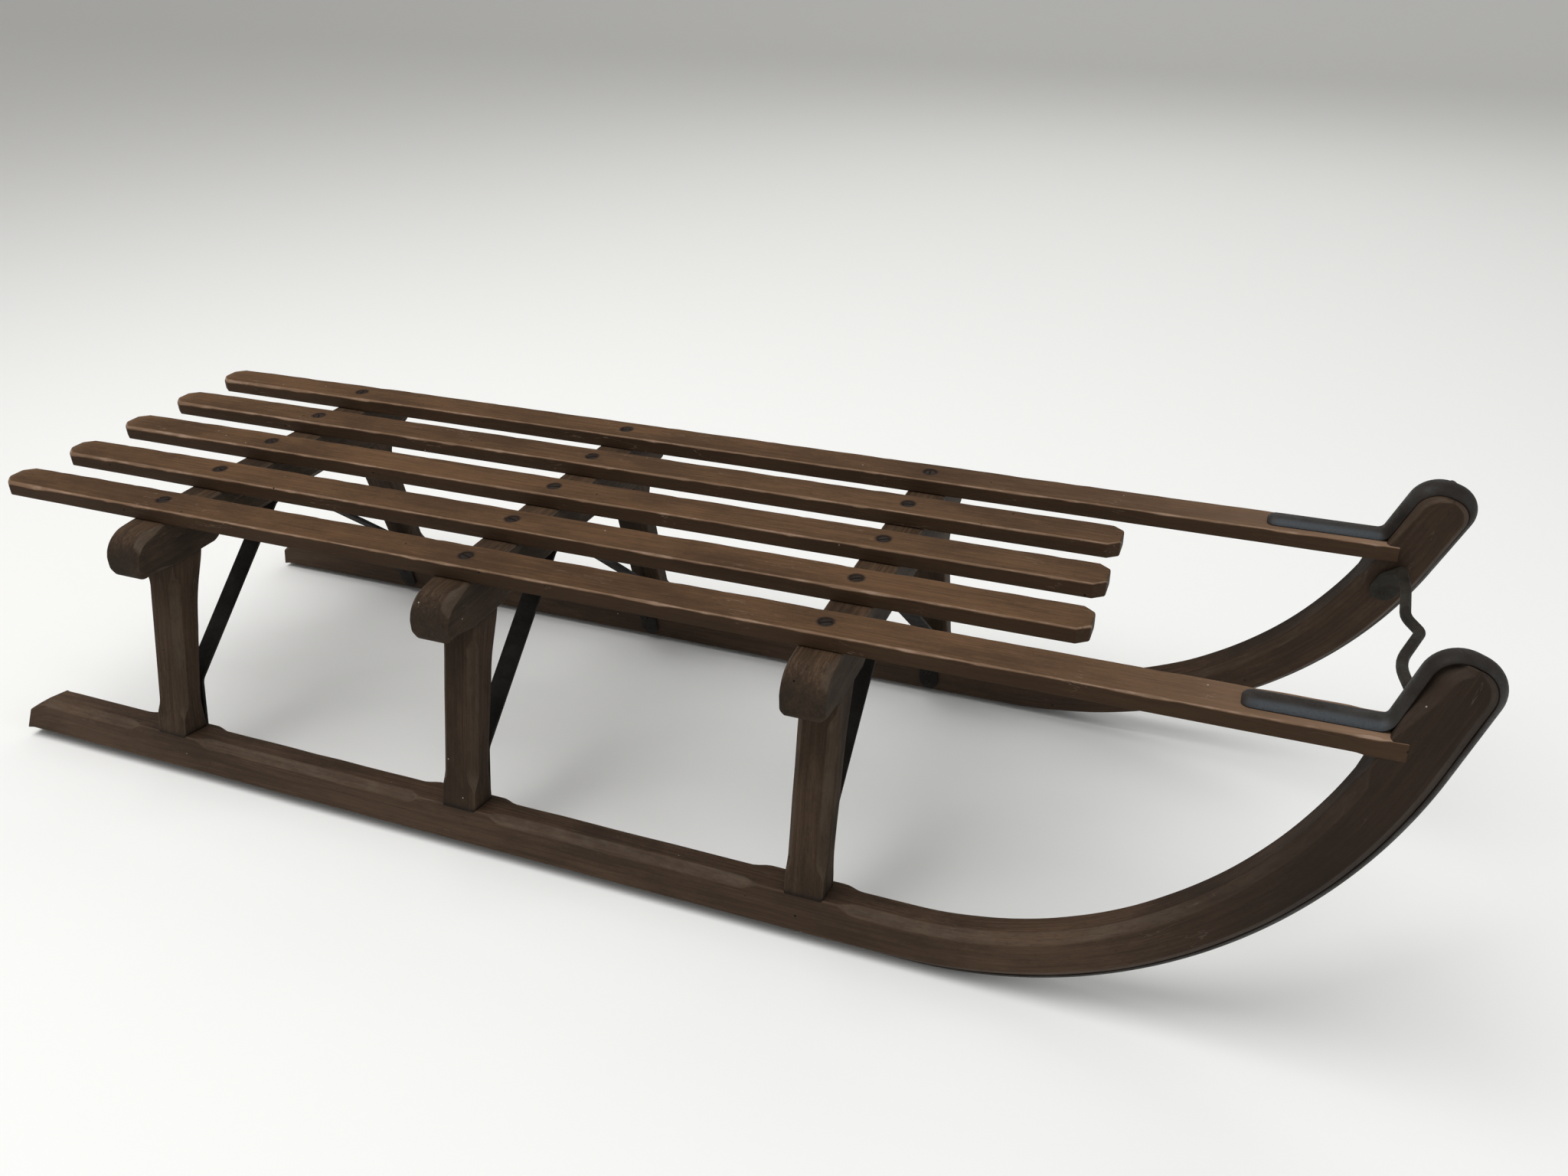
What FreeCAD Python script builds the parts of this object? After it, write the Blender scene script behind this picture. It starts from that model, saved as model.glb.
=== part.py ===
import FreeCAD, Part
import math
import os
import Sketcher

# A three-bunk wooden sled, in millimetres: +X is forward, +Y is its left, +Z is up.
# The origin is on the ground, under the middle of the whole sled.
# Each runner is bent in a flat plane that leans inwards. It is drawn in that plane: along runs
# from its back end, up runs from its sole, and the sole's middle line is the plane's origin.

doc = FreeCAD.newDocument("Sled")

driving_sizes = {
    "overall_length": 1069,      # back ends of the runners to the front of the horns
    "seat_height": 221.5,        # ground to the top of the slats
    "cant": 10.5,                # degrees that the runners' planes lean inwards
    "runner_width": 28,
    "runner_height": 29.4,       # along the straight sole
    "horn_depth": 34,            # front to back of the upright horn
    "horn_angle": 70,            # degrees from the sole to the horn
    "horn_length": 273,          # from the corner that the bend rounds off
    "bend_radius": 300,          # outer side of the bend
    "bend_inner_radius": 266,
    "horn_round": 15,            # rounding at the horn's two end corners
    "heel_slant": 5,             # how far the runner's back end slopes, up to heel_rise
    "heel_rise": 18,
    "heel_bevel": 17,            # length of the bevel above that
    "shoe_width": 18,
    "shoe_height": 5.5,
    "shoe_return": 78,           # length of the steel that lies on the outer slat
    "bunk_setback": 158,         # back end of the runners to the middle of the rear crossbar
    "bunk_spacing": 267.8,
    "crossbar_length": 333,
    "crossbar_width": 30,
    "crossbar_height": 35,
    "nose_round": 19,            # upper corners of a crossbar's ends
    "chin_round": 8,             # lower corners of a crossbar's ends
    "leg_width": 28.5,
    "leg_lean": 12.9,            # degrees
    "foot_set_in": 4.5,          # inner face of the runner to a leg's foot
    "leg_waist": 19.5,
    "leg_shoulder": 24,
    "leg_head": 32,
    "waist_rise": 20,            # foot to waist
    "shoulder_drop": 34,         # crossbar to shoulder
    "tenon_width": 17,
    "tenon_thickness": 12,
    "foot_tenon": 17,            # length inside the runner
    "head_tenon": 22,            # length inside the crossbar
    "slat_pitch": 60,
    "slat_width": 30.3,
    "slat_thickness": 12,
    "slat_length": 836,          # the three inner slats
    "slat_setback": 12,          # back end of the runners to the back ends of the slats
    "slat_corner": 8,            # cut corners, along and across the slat
    "slat_corner_side": 6,
    "slat_housing": 18,          # depth of an outer slat's end in the horn
    "brace_width": 16,
    "brace_thickness": 3,
    "brace_flat": 13,            # half of the flat stretch under the crossbar
    "brace_bend": 66,            # height of the brace's lower bend above the sole
    "brace_toe": 5,              # height of the brace's lower end above the sole
    "rod_diameter": 7,
    "rod_below_slats": 4,        # underside of the slats to the middle of the rod
    "rod_drop_back": 18,         # middle of the rod behind the front face of the horns
    "rod_round": 6,
    "kink_offset": 10,           # the kink's tip, to the left of the middle
    "kink_reach": 11,
    "kink_dip": 4,
    "kink_half_width": 20,
    "kink_spread": 40,
    "plate_length": 34,
    "plate_width": 19,
    "plate_thickness": 3,
    "plate_above": 3,            # plate above the middle of the rod
}

sheet = doc.addObject("Spreadsheet::Sheet", "Size")
for row, (alias, value) in enumerate(driving_sizes.items(), start=1):
    sheet.set("A%d" % row, alias)
    sheet.set("B%d" % row, str(value))
    sheet.setAlias("B%d" % row, alias)
doc.recompute()

# Lengths that follow from the driving sizes, written for the expression engine.
half_length = "Size.overall_length / 2"
half_runner = "Size.runner_width / 2"
shoe_radius = "((Size.shoe_width / 2)^2 + Size.shoe_height^2) / (2 * Size.shoe_height)"
sole_height = f"({shoe_radius} - ({shoe_radius} - Size.shoe_height) * cos(Size.cant))"
slat_base = "(Size.seat_height - Size.slat_thickness)"
slat_middle = "(Size.seat_height - Size.slat_thickness / 2)"
slat_edge = "(2 * Size.slat_pitch + Size.slat_width / 2)"
crossbar_base = f"({slat_base} - Size.crossbar_height)"


def plane_up(height, outward):
    """Distance up the runner's plane at which a point so far outward has this height."""
    return f"(({height} - {sole_height} - ({outward}) * sin(Size.cant)) / cos(Size.cant))"


def side_of(up, outward):
    """Distance from the sled's middle of a point of the runner's own frame."""
    return f"({sole_offset} - ({up}) * sin(Size.cant) + ({outward}) * cos(Size.cant))"


def height_of(up, outward):
    """Height above the ground of a point of the runner's own frame."""
    return f"({sole_height} + ({up}) * cos(Size.cant) + ({outward}) * sin(Size.cant))"


# The outer slat's edge lies flush with the horn's outer face at the slat's middle height.
sole_offset = (f"({slat_edge} + {plane_up(slat_middle, half_runner)} * sin(Size.cant)"
               f" - {half_runner} * cos(Size.cant))")

# Where the sole's line and the horn's front line would meet, along the runner.
horn_front_reach = ("(Size.horn_length * cos(Size.horn_angle) + Size.shoe_height - Size.horn_round"
                    " * (cos(Size.horn_angle) + sin(Size.horn_angle) - 1))")
bend_corner = f"(Size.overall_length - {horn_front_reach})"


def horn_back_at(up):
    """Place along the runner of the horn's back face at a distance up."""
    return (f"({bend_corner} - Size.horn_depth / sin(Size.horn_angle)"
            f" + ({up}) / tan(Size.horn_angle))")


def value(expression):
    return float(sheet.evalExpression(expression))


def new_body(name):
    body = doc.addObject("PartDesign::Body", name)
    body.Label = name
    return body


def place(thing, x="0", y="0", z="0", lean="0", axis=(1, 0, 0)):
    """Put a thing at x, y, z, turned about an axis, with each value bound to the sheet."""
    turn = FreeCAD.Rotation(FreeCAD.Vector(*axis), value(lean))
    thing.Placement = FreeCAD.Placement(FreeCAD.Vector(value(x), value(y), value(z)), turn)
    thing.setExpression("Placement.Base.x", x)
    thing.setExpression("Placement.Base.y", y)
    thing.setExpression("Placement.Base.z", z)
    if lean != "0":
        thing.setExpression("Placement.Rotation.Angle", lean)


def in_runner_plane(body, side):
    place(body, f"-{half_length}", f"{side} * {sole_offset}", sole_height, "Size.cant", (side, 0, 0))


def pin(sketch, geometry, point, x, y):
    """Fix one point of a sketch at bound distances from the sketch's origin."""
    for kind, distance, axis in (("DistanceX", x, -2), ("DistanceY", y, -1)):
        if distance == "0":
            sketch.addConstraint(Sketcher.Constraint("PointOnObject", geometry, point, axis))
        else:
            fixed = Sketcher.Constraint(kind, -1, 1, geometry, point, value(distance))
            sketch.setExpression(f"Constraints[{sketch.addConstraint(fixed)}]", distance)


def round_corner(sketch, spot, before, after, corner, line_in, line_out):
    """Put a tangent arc between two lines. The corner it replaces stays as a pinned point."""
    radius = value(corner[2])
    arrive, leave = (spot - before).normalize(), (after - spot).normalize()
    turn = arrive.getAngle(leave)
    left = arrive.cross(leave).z > 0
    inward = (leave - arrive).normalize()
    centre = spot + inward * (radius / math.cos(turn / 2))
    middle = math.atan2(-inward.y, -inward.x)
    circle = Part.Circle(centre, FreeCAD.Vector(0, 0, 1), radius)
    arc = sketch.addGeometry(Part.ArcOfCircle(circle, middle - turn / 2, middle + turn / 2))
    first, last = (1, 2) if left else (2, 1)
    sketch.addConstraint(Sketcher.Constraint("Tangent", line_in, 2, arc, first))
    sketch.addConstraint(Sketcher.Constraint("Tangent", arc, last, line_out, 1))
    size = sketch.addConstraint(Sketcher.Constraint("Radius", arc, radius))
    sketch.setExpression(f"Constraints[{size}]", corner[2])
    point = sketch.addGeometry(Part.Point(spot), True)
    sketch.addConstraint(Sketcher.Constraint("PointOnObject", point, 1, line_in))
    sketch.addConstraint(Sketcher.Constraint("PointOnObject", point, 1, line_out))
    pin(sketch, point, 1, corner[0], corner[1])


def draw(sketch, corners, closed=True):
    """Draw lines from corner to corner. A corner is (x, y) or, if rounded, (x, y, radius)."""
    spots = [FreeCAD.Vector(value(corner[0]), value(corner[1]), 0) for corner in corners]
    count = len(corners)
    trims = [0.0] * count
    for i, corner in enumerate(corners):
        if len(corner) > 2:
            turn = (spots[i] - spots[i - 1]).getAngle(spots[(i + 1) % count] - spots[i])
            trims[i] = value(corner[2]) * math.tan(turn / 2)
    lines = []
    for i in range(count if closed else count - 1):
        j = (i + 1) % count
        along = (spots[j] - spots[i]).normalize()
        line = Part.LineSegment(spots[i] + along * trims[i], spots[j] - along * trims[j])
        lines.append(sketch.addGeometry(line))
    for i in range(0 if closed else 1, count if closed else count - 1):
        line_in, line_out = lines[i - 1], lines[i]
        if len(corners[i]) > 2:
            round_corner(sketch, spots[i], spots[i - 1], spots[(i + 1) % count], corners[i],
                         line_in, line_out)
        else:
            sketch.addConstraint(Sketcher.Constraint("Coincident", line_in, 2, line_out, 1))
            pin(sketch, line_out, 1, *corners[i])
    if not closed:
        pin(sketch, lines[0], 1, *corners[0])
        pin(sketch, lines[-1], 2, *corners[-1])


def new_sketch(body, name, plane, corners, closed=True):
    sketch = body.newObject("Sketcher::SketchObject", name)
    support = next(item for item in body.Origin.OriginFeatures if item.Role == plane)
    sketch.AttachmentSupport = (support, [""])
    sketch.MapMode = "FlatFace"
    draw(sketch, corners, closed)
    return sketch


def pad(body, name, plane, corners, length, midplane=True, reverse=False):
    """Draw a closed outline on one of the body's own planes and give it a thickness."""
    feature = body.newObject("PartDesign::Pad", name)
    feature.Profile = new_sketch(body, name + "_outline", plane, corners)
    feature.Midplane = midplane
    feature.Reversed = reverse
    feature.setExpression("Length", length)
    return feature


def box_corners(left, right, low, high):
    return [(left, low), (right, low), (right, high), (left, high)]


def joined(name, pieces):
    whole = doc.addObject("Part::MultiFuse", name)
    whole.Label = name
    whole.Shapes = pieces
    return whole


def cut(name, blank, tools):
    """Take the tools' shapes out of a blank piece."""
    left_over = doc.addObject("Part::Cut", name)
    left_over.Label = name
    left_over.Base = blank
    left_over.Tool = joined(name + "_sockets", tools) if len(tools) > 1 else tools[0]
    return left_over


SIDES = {"left": 1, "right": -1}
BUNKS = {"rear": 0, "middle": 1, "front": 2}


def bunk_run(bunk):
    """Place of a bunk along the runner."""
    return f"(Size.bunk_setback + {BUNKS[bunk]} * Size.bunk_spacing)"


# Slats.

housing_end = f"({horn_back_at(plane_up(slat_middle, '0'))} + Size.slat_housing)"


def slat_corners(length, square_front):
    edge = "Size.slat_width / 2"
    inner = f"({edge} - Size.slat_corner_side)"
    back = [("Size.slat_corner", f"-{edge}"), ("0", f"-{inner}"),
            ("0", inner), ("Size.slat_corner", edge)]
    if square_front:
        return [(length, f"-{edge}"), (length, edge)] + back[::-1]
    nip = f"({length} - Size.slat_corner)"
    return [(nip, f"-{edge}"), (length, f"-{inner}"), (length, inner), (nip, edge)] + back[::-1]


def make_slat(name, number, length, square_front=False):
    body = new_body(name)
    place(body, f"Size.slat_setback - {half_length}", f"{number} * Size.slat_pitch", slat_base)
    pad(body, name + "_pad", "XY_Plane", slat_corners(length, square_front),
        "Size.slat_thickness", midplane=False)
    return body


outer_length = f"({housing_end} - Size.slat_setback)"
slats = {
    "slat_outer_right": make_slat("slat_outer_right", -2, outer_length, True),
    "slat_inner_right": make_slat("slat_inner_right", -1, "Size.slat_length"),
    "slat_centre": make_slat("slat_centre", 0, "Size.slat_length"),
    "slat_inner_left": make_slat("slat_inner_left", 1, "Size.slat_length"),
    "slat_outer_left": make_slat("slat_outer_left", 2, outer_length, True),
}


# Legs and crossbars.

foot_out = (side_of("Size.runner_height", half_runner), height_of("Size.runner_height", half_runner))


def leg_outside(height):
    """Distance of the leg's outer face from the sled's middle."""
    return f"({foot_out[0]} - (({height}) - {foot_out[1]}) * tan(Size.leg_lean))"


def leg_corners(side):
    """Outer face straight, inner face waisted above the foot and flared below the crossbar."""
    waist = f"({foot_out[1]} + Size.waist_rise)"
    shoulder = f"({crossbar_base} - Size.shoulder_drop)"
    inner_foot = (f"({foot_out[0]} - (Size.runner_width - Size.foot_set_in) * cos(Size.cant))",
                  f"({foot_out[1]} - (Size.runner_width - Size.foot_set_in) * sin(Size.cant))")
    corners = [foot_out, (leg_outside(crossbar_base), crossbar_base),
               (f"({leg_outside(crossbar_base)} - Size.leg_head)", crossbar_base),
               (f"({leg_outside(shoulder)} - Size.leg_shoulder)", shoulder),
               (f"({leg_outside(waist)} - Size.leg_waist)", waist), inner_foot]
    return [(f"{side} * {y}", z) for y, z in corners]


tenon_root = 4    # length of a tenon that lies inside its own leg


def head_tenon_corners(side):
    low, high = f"({crossbar_base} - {tenon_root})", f"({crossbar_base} + Size.head_tenon)"
    corners = []
    for height, inset in ((low, -1), (high, -1), (high, 1), (low, 1)):
        middle = f"({leg_outside(height)} - Size.leg_shoulder / 2)"
        corners.append((f"{side} * ({middle} - {inset} * Size.tenon_thickness / 2)", height))
    return corners


legs, head_tenons, foot_tenons = {}, {}, {}
for bunk in BUNKS:
    for side_name, side in SIDES.items():
        name = f"leg_{bunk}_{side_name}"
        stem = new_body(name + "_stem")
        place(stem, f"{bunk_run(bunk)} - {half_length}")
        pad(stem, name + "_stem_pad", "YZ_Plane", leg_corners(side), "Size.leg_width")
        head = new_body(name + "_head_tenon")
        place(head, f"{bunk_run(bunk)} - {half_length}")
        pad(head, name + "_head_pad", "YZ_Plane", head_tenon_corners(side), "Size.tenon_width")
        foot = new_body(name + "_foot_tenon")
        in_runner_plane(foot, side)
        pad(foot, name + "_foot_pad", "XZ_Plane",
            box_corners(f"{bunk_run(bunk)} - Size.tenon_width / 2",
                        f"{bunk_run(bunk)} + Size.tenon_width / 2",
                        "Size.runner_height - Size.foot_tenon",
                        f"Size.runner_height + {tenon_root}"), "Size.tenon_thickness")
        legs[name] = joined(name, [stem, head, foot])
        head_tenons[bunk, side_name], foot_tenons[bunk, side_name] = head, foot

crossbar_reach = "Size.crossbar_length / 2"
crossbars = {}
for bunk in BUNKS:
    name = f"crossbar_{bunk}"
    blank = new_body(name + "_blank")
    place(blank, f"{bunk_run(bunk)} - {half_length}")
    corners = [(f"-{crossbar_reach}", crossbar_base, "Size.chin_round"),
               (crossbar_reach, crossbar_base, "Size.chin_round"),
               (crossbar_reach, slat_base, "Size.nose_round"),
               (f"-{crossbar_reach}", slat_base, "Size.nose_round")]
    pad(blank, name + "_pad", "YZ_Plane", corners, "Size.crossbar_width")
    crossbars[name] = cut(name, blank, [head_tenons[bunk, side] for side in SIDES])


# Runners.

tip_front = (f"({bend_corner} + Size.horn_length * cos(Size.horn_angle))",
             "Size.horn_length * sin(Size.horn_angle)")
tip_back = (f"({tip_front[0]} - Size.horn_depth * sin(Size.horn_angle))",
            f"({tip_front[1]} + Size.horn_depth * cos(Size.horn_angle))")
runner_outline = [
    ("0", "0"),
    (bend_corner, "0", "Size.bend_radius"),
    (*tip_front, "Size.horn_round"),
    (*tip_back, "Size.horn_round"),
    (horn_back_at("Size.runner_height"), "Size.runner_height", "Size.bend_inner_radius"),
    ("Size.heel_slant + Size.heel_bevel", "Size.runner_height"),
    ("Size.heel_slant", "Size.heel_rise"),
]

runners = {}
for side_name, side in SIDES.items():
    name = f"runner_{side_name}"
    blank = new_body(name + "_blank")
    in_runner_plane(blank, side)
    pad(blank, name + "_pad", "XZ_Plane", runner_outline, "Size.runner_width")
    housing = doc.addObject("Part::Box", name + "_housing")
    housing.setExpression("Length", "Size.slat_housing + Size.horn_depth")
    housing.setExpression("Width", "Size.slat_width + Size.runner_width")
    housing.setExpression("Height", "Size.slat_thickness")
    place(housing, f"{housing_end} - {half_length} - Size.slat_housing - Size.horn_depth",
          f"{2 * side} * Size.slat_pitch - (Size.slat_width + Size.runner_width) / 2", slat_base)
    sockets = [housing] + [foot_tenons[bunk, side_name] for bunk in BUNKS]
    runners[name] = cut(name, blank, sockets)


# Steel shoes.

shoe_top_up = plane_up("Size.seat_height", "0")
shoe_path = [
    ("0", "0"),
    (bend_corner, "0", "Size.bend_radius"),
    (*tip_front, "Size.horn_round"),
    (*tip_back, "Size.horn_round"),
    (horn_back_at(f"({shoe_top_up} + 2.5)"), f"({shoe_top_up} + 2.5)"),
]


def half_round(sketch, up):
    """The band's section: flat against the wood and crowned away from it, up is -1 or 1."""
    reach, rise = value("Size.shoe_width / 2"), up * value("Size.shoe_height")
    ends = [FreeCAD.Vector(-reach, 0, 0), FreeCAD.Vector(reach, 0, 0)]
    flat = sketch.addGeometry(Part.LineSegment(*ends))
    crown = sketch.addGeometry(Part.Arc(ends[0], FreeCAD.Vector(0, rise, 0), ends[1]))
    first, last = (1, 2) if up < 0 else (2, 1)
    sketch.addConstraint(Sketcher.Constraint("Coincident", flat, 1, crown, first))
    sketch.addConstraint(Sketcher.Constraint("Coincident", flat, 2, crown, last))
    pin(sketch, flat, 1, "-Size.shoe_width / 2", "0")
    sketch.addConstraint(Sketcher.Constraint("Symmetric", flat, 1, flat, 2, -1, 1))
    size = sketch.addConstraint(Sketcher.Constraint("Radius", crown, value(shoe_radius)))
    sketch.setExpression(f"Constraints[{size}]", shoe_radius)


def section_sketch(body, name, up):
    sketch = new_sketch(body, name, "YZ_Plane", [])
    half_round(sketch, up)
    return sketch


shoes = {}
for side_name, side in SIDES.items():
    name = f"runner_shoe_{side_name}"
    band = new_body(name + "_band")
    in_runner_plane(band, side)
    path = new_sketch(band, name + "_path", "XZ_Plane", shoe_path, closed=False)
    sweep = band.newObject("PartDesign::AdditivePipe", name + "_sweep")
    sweep.Profile = section_sketch(band, name + "_section", -1)
    sweep.Spine = path
    tongue = new_body(name + "_tongue")
    place(tongue, f"{horn_back_at(shoe_top_up)} - {half_length} - Size.shoe_return",
          f"{2 * side} * Size.slat_pitch", "Size.seat_height")
    length = tongue.newObject("PartDesign::Pad", name + "_tongue_pad")
    length.Profile = section_sketch(tongue, name + "_tongue_section", 1)
    length.setExpression("Length", "Size.shoe_return")
    shoes[name] = joined(name, [band, tongue])


# Braces.

toe = (side_of("Size.brace_toe", f"-{half_runner}"), height_of("Size.brace_toe", f"-{half_runner}"))
bend = (side_of("Size.brace_bend", f"-{half_runner}"), height_of("Size.brace_bend", f"-{half_runner}"))
slope = f"atan(({crossbar_base} - {bend[1]}) / ({bend[0]} - Size.brace_flat))"
mitre = f"Size.brace_thickness / (1 + sin({slope} + Size.cant * 1 deg))"
brace_half = [
    (toe[0], toe[1]),
    (bend[0], bend[1]),
    ("Size.brace_flat", crossbar_base),
]
brace_half_inside = [
    (f"(Size.brace_flat - Size.brace_thickness * tan({slope} / 2))",
     f"({crossbar_base} - Size.brace_thickness)"),
    (f"({bend[0]} - {mitre} * (sin({slope}) + cos(Size.cant)))",
     f"({bend[1]} - {mitre} * (cos({slope}) + sin(Size.cant)))"),
    (f"({toe[0]} - Size.brace_thickness * cos(Size.cant))",
     f"({toe[1]} - Size.brace_thickness * sin(Size.cant))"),
]


def mirrored(points):
    return [(f"-{y}", z) for y, z in reversed(points)]


braces = {}
for bunk in BUNKS:
    name = f"brace_{bunk}"
    body = new_body(name)
    place(body, f"{bunk_run(bunk)} - {half_length}")
    corners = brace_half + mirrored(brace_half) + mirrored(brace_half_inside) + brace_half_inside
    pad(body, name + "_pad", "YZ_Plane", corners, "Size.brace_width")
    braces[name] = body


# Pull rod.

rod_height = f"({slat_base} - Size.rod_below_slats)"
rod_up = plane_up(rod_height, f"-{half_runner}")
rod_run = f"({bend_corner} + {rod_up} / tan(Size.horn_angle) - Size.rod_drop_back)"
rod_reach = f"({side_of(rod_up, f'-{half_runner}')} - 1)"

rod = new_body("rod_bar")
place(rod, f"{rod_run} - {half_length}", f"-{rod_reach}", rod_height)
kink = f"({rod_reach} + Size.kink_offset)"
rod_corners = [
    ("0", "0"),
    ("0", f"{kink} - Size.kink_spread", "Size.rod_round"),
    ("-Size.kink_dip", f"{kink} - Size.kink_half_width", "Size.rod_round"),
    ("Size.kink_reach", kink, "Size.rod_round"),
    ("-Size.kink_dip", f"{kink} + Size.kink_half_width", "Size.rod_round"),
    ("0", f"{kink} + Size.kink_spread", "Size.rod_round"),
    ("0", f"2 * {rod_reach}"),
]
rod_path = new_sketch(rod, "rod_path", "XY_Plane", rod_corners, closed=False)
rod_section = new_sketch(rod, "rod_section", "XZ_Plane", [])
circle = rod_section.addGeometry(Part.Circle(FreeCAD.Vector(0, 0, 0), FreeCAD.Vector(0, 0, 1),
                                             value("Size.rod_diameter / 2")))
rod_section.addConstraint(Sketcher.Constraint("Coincident", circle, 3, -1, 1))
size = rod_section.addConstraint(
    Sketcher.Constraint("Diameter", circle, value("Size.rod_diameter")))
rod_section.setExpression(f"Constraints[{size}]", "Size.rod_diameter")
sweep = rod.newObject("PartDesign::AdditivePipe", "rod_sweep")
sweep.Profile = rod_section
sweep.Spine = rod_path

plates = []
for side_name, side in SIDES.items():
    plate = new_body(f"rod_plate_{side_name}")
    inner_face = f"-{half_runner}"
    place(plate, f"-{half_length}", f"{side} * {side_of('0', inner_face)}",
          height_of("0", inner_face), "Size.cant", (side, 0, 0))
    corners = []
    for across, reach in ((1, "Size.plate_above"), (-1, "Size.plate_above"),
                          (-1, "(Size.plate_above - Size.plate_length)"),
                          (1, "(Size.plate_above - Size.plate_length)")):
        corners.append((f"{rod_run} + {reach} * cos(Size.horn_angle)"
                        f" + {across} * Size.plate_width / 2 * sin(Size.horn_angle)",
                        f"{rod_up} + {reach} * sin(Size.horn_angle)"
                        f" - {across} * Size.plate_width / 2 * cos(Size.horn_angle)",
                        "Size.plate_width * 0.49"))
    pad(plate, f"rod_plate_{side_name}_pad", "XZ_Plane", corners, "Size.plate_thickness",
        midplane=False, reverse=side < 0)
    plates.append(plate)
pull_rod = joined("pull_rod", [rod] + plates)


# Checking and writing.

doc.recompute()
for item in doc.Objects:
    if "Invalid" in item.State or "Error" in item.State:
        raise RuntimeError(f"{item.Label} failed: {item.State}")

os.makedirs("parts", exist_ok=True)
sub_parts = list(slats.values()) + list(legs.values()) + list(crossbars.values())
sub_parts += list(runners.values()) + list(shoes.values()) + list(braces.values()) + [pull_rod]
for item in sub_parts:
    if item.Shape.isNull() or not item.Shape.isValid() or len(item.Shape.Solids) != 1:
        raise RuntimeError(f"{item.Label} is not one sound solid")
    item.Shape.exportStep(f"parts/{item.Label}.step")
    print(f"{item.Label}: {item.Shape.Volume / 1000:.1f} cm3")
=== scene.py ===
import math

import bpy
import numpy as np
from mathutils import Euler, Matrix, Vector


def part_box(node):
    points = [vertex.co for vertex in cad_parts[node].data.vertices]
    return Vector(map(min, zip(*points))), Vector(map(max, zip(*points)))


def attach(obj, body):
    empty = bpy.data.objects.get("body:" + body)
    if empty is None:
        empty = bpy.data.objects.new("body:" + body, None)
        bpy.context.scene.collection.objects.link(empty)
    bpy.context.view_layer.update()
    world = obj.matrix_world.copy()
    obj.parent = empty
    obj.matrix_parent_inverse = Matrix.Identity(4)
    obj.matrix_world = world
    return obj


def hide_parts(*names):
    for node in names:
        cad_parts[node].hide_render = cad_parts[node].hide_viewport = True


# Lengths are in millimetres until a mesh is made.
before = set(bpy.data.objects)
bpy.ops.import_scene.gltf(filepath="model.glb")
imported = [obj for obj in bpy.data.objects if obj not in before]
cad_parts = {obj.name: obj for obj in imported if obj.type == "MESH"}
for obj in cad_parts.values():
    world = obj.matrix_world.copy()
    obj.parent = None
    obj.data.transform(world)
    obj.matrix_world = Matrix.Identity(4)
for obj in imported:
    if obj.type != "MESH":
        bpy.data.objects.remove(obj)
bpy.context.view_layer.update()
mm = 0.001
print("frame loaded:", len(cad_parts), "nodes")


def nodeBox(name):
    low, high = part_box(name)
    return np.array(low) / mm, np.array(high) / mm


# curves and sections, all worked out as whole arrays
def smooth(t):
    # 3t^2 - 2t^3, held at 0 and 1 outside
    t = np.clip(t, 0, 1)
    return t * t * (3 - 2 * t)


def between(along, spans, run):
    # 1 inside the spans and 0 outside, with a smooth step of length run at both ends of each
    level = np.zeros_like(along)
    for start, end in spans:
        level = np.maximum(level, smooth((along - start) / run) * smooth((end - along) / run))
    return level


def waver(along, seed, spacing=9.0):
    # random heights from -1 to 1 every spacing, joined by straight lines
    knots = np.arange(along.min() - spacing, along.max() + 2 * spacing, spacing)
    return np.interp(along, knots, np.random.default_rng(seed).uniform(-1, 1, len(knots)))


def stations(low, high, step, *extra):
    # evenly spaced places from low to high, with close triples at the extra places
    evenly = np.linspace(low, high, max(2, int((high - low) / step) + 1))
    close = [np.array([place - 0.6, place, place + 0.6]) for place in extra]
    along = np.unique(np.round(np.concatenate([evenly] + close), 3))
    along = along[(along > low - 0.01) & (along < high + 0.01)]
    keep = np.concatenate([[True], np.diff(along) > 0.15])
    return along[keep]


def unit(vectors):
    return vectors / np.maximum(np.linalg.norm(vectors, axis=-1, keepdims=True), 1e-9)


def grainShift(seed, *steps):
    # moves a piece to its own stretch of the grain
    return seed * np.array(steps)


def rectangle(left, right, low, high):
    # the four corners of every station's section, in order round it
    left, right, low, high = np.broadcast_arrays(left, right, low, high)
    return np.stack([left, low, right, low, right, high, left, high], axis=1).reshape(-1, 4, 2)


def easedSection(corners, cuts, ease, inset):
    # Each corner (station, corner, 2) first moves inwards by the station's inset. It is then cut
    # by a flat whose ends lie one cut away on both sides, and a parabola eases both its ends. A cut
    # and its ease never take more than half of the shorter side beside them.
    before = unit(corners - np.roll(corners, 1, axis=1))
    after = unit(np.roll(corners, -1, axis=1) - corners)
    corners = corners + inset[:, None, None] * (after - before)
    side = np.linalg.norm(np.roll(corners, -1, axis=1) - corners, axis=-1)
    room = 0.49 * np.minimum(side, np.roll(side, 1, axis=1))[..., None]
    ease = np.minimum(ease, 0.4 * room)
    cuts = np.clip(cuts[..., None], 0.02, room - ease)
    start, end = corners - cuts * before, corners + cuts * after
    flat = unit(end - start)
    ease = np.minimum(ease, 0.48 * np.linalg.norm(end - start, axis=-1, keepdims=True))
    points = [start - ease * before, start + ease * (flat - before) / 4, start + ease * flat,
              end - ease * flat, end + ease * (after - flat) / 4, end + ease * after]
    return np.stack(points, axis=2).reshape(len(corners), -1, 2)


def edgeLayer(count, weights):
    # how far each point of an eased section lies on its corner's cut: 1 on the flat, 0 at the ends
    across = np.array([0, 0.5, 1, 1, 0.5, 0])
    return (np.broadcast_to(weights, (count, 4))[..., None] * across).reshape(count, 24)


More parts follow.
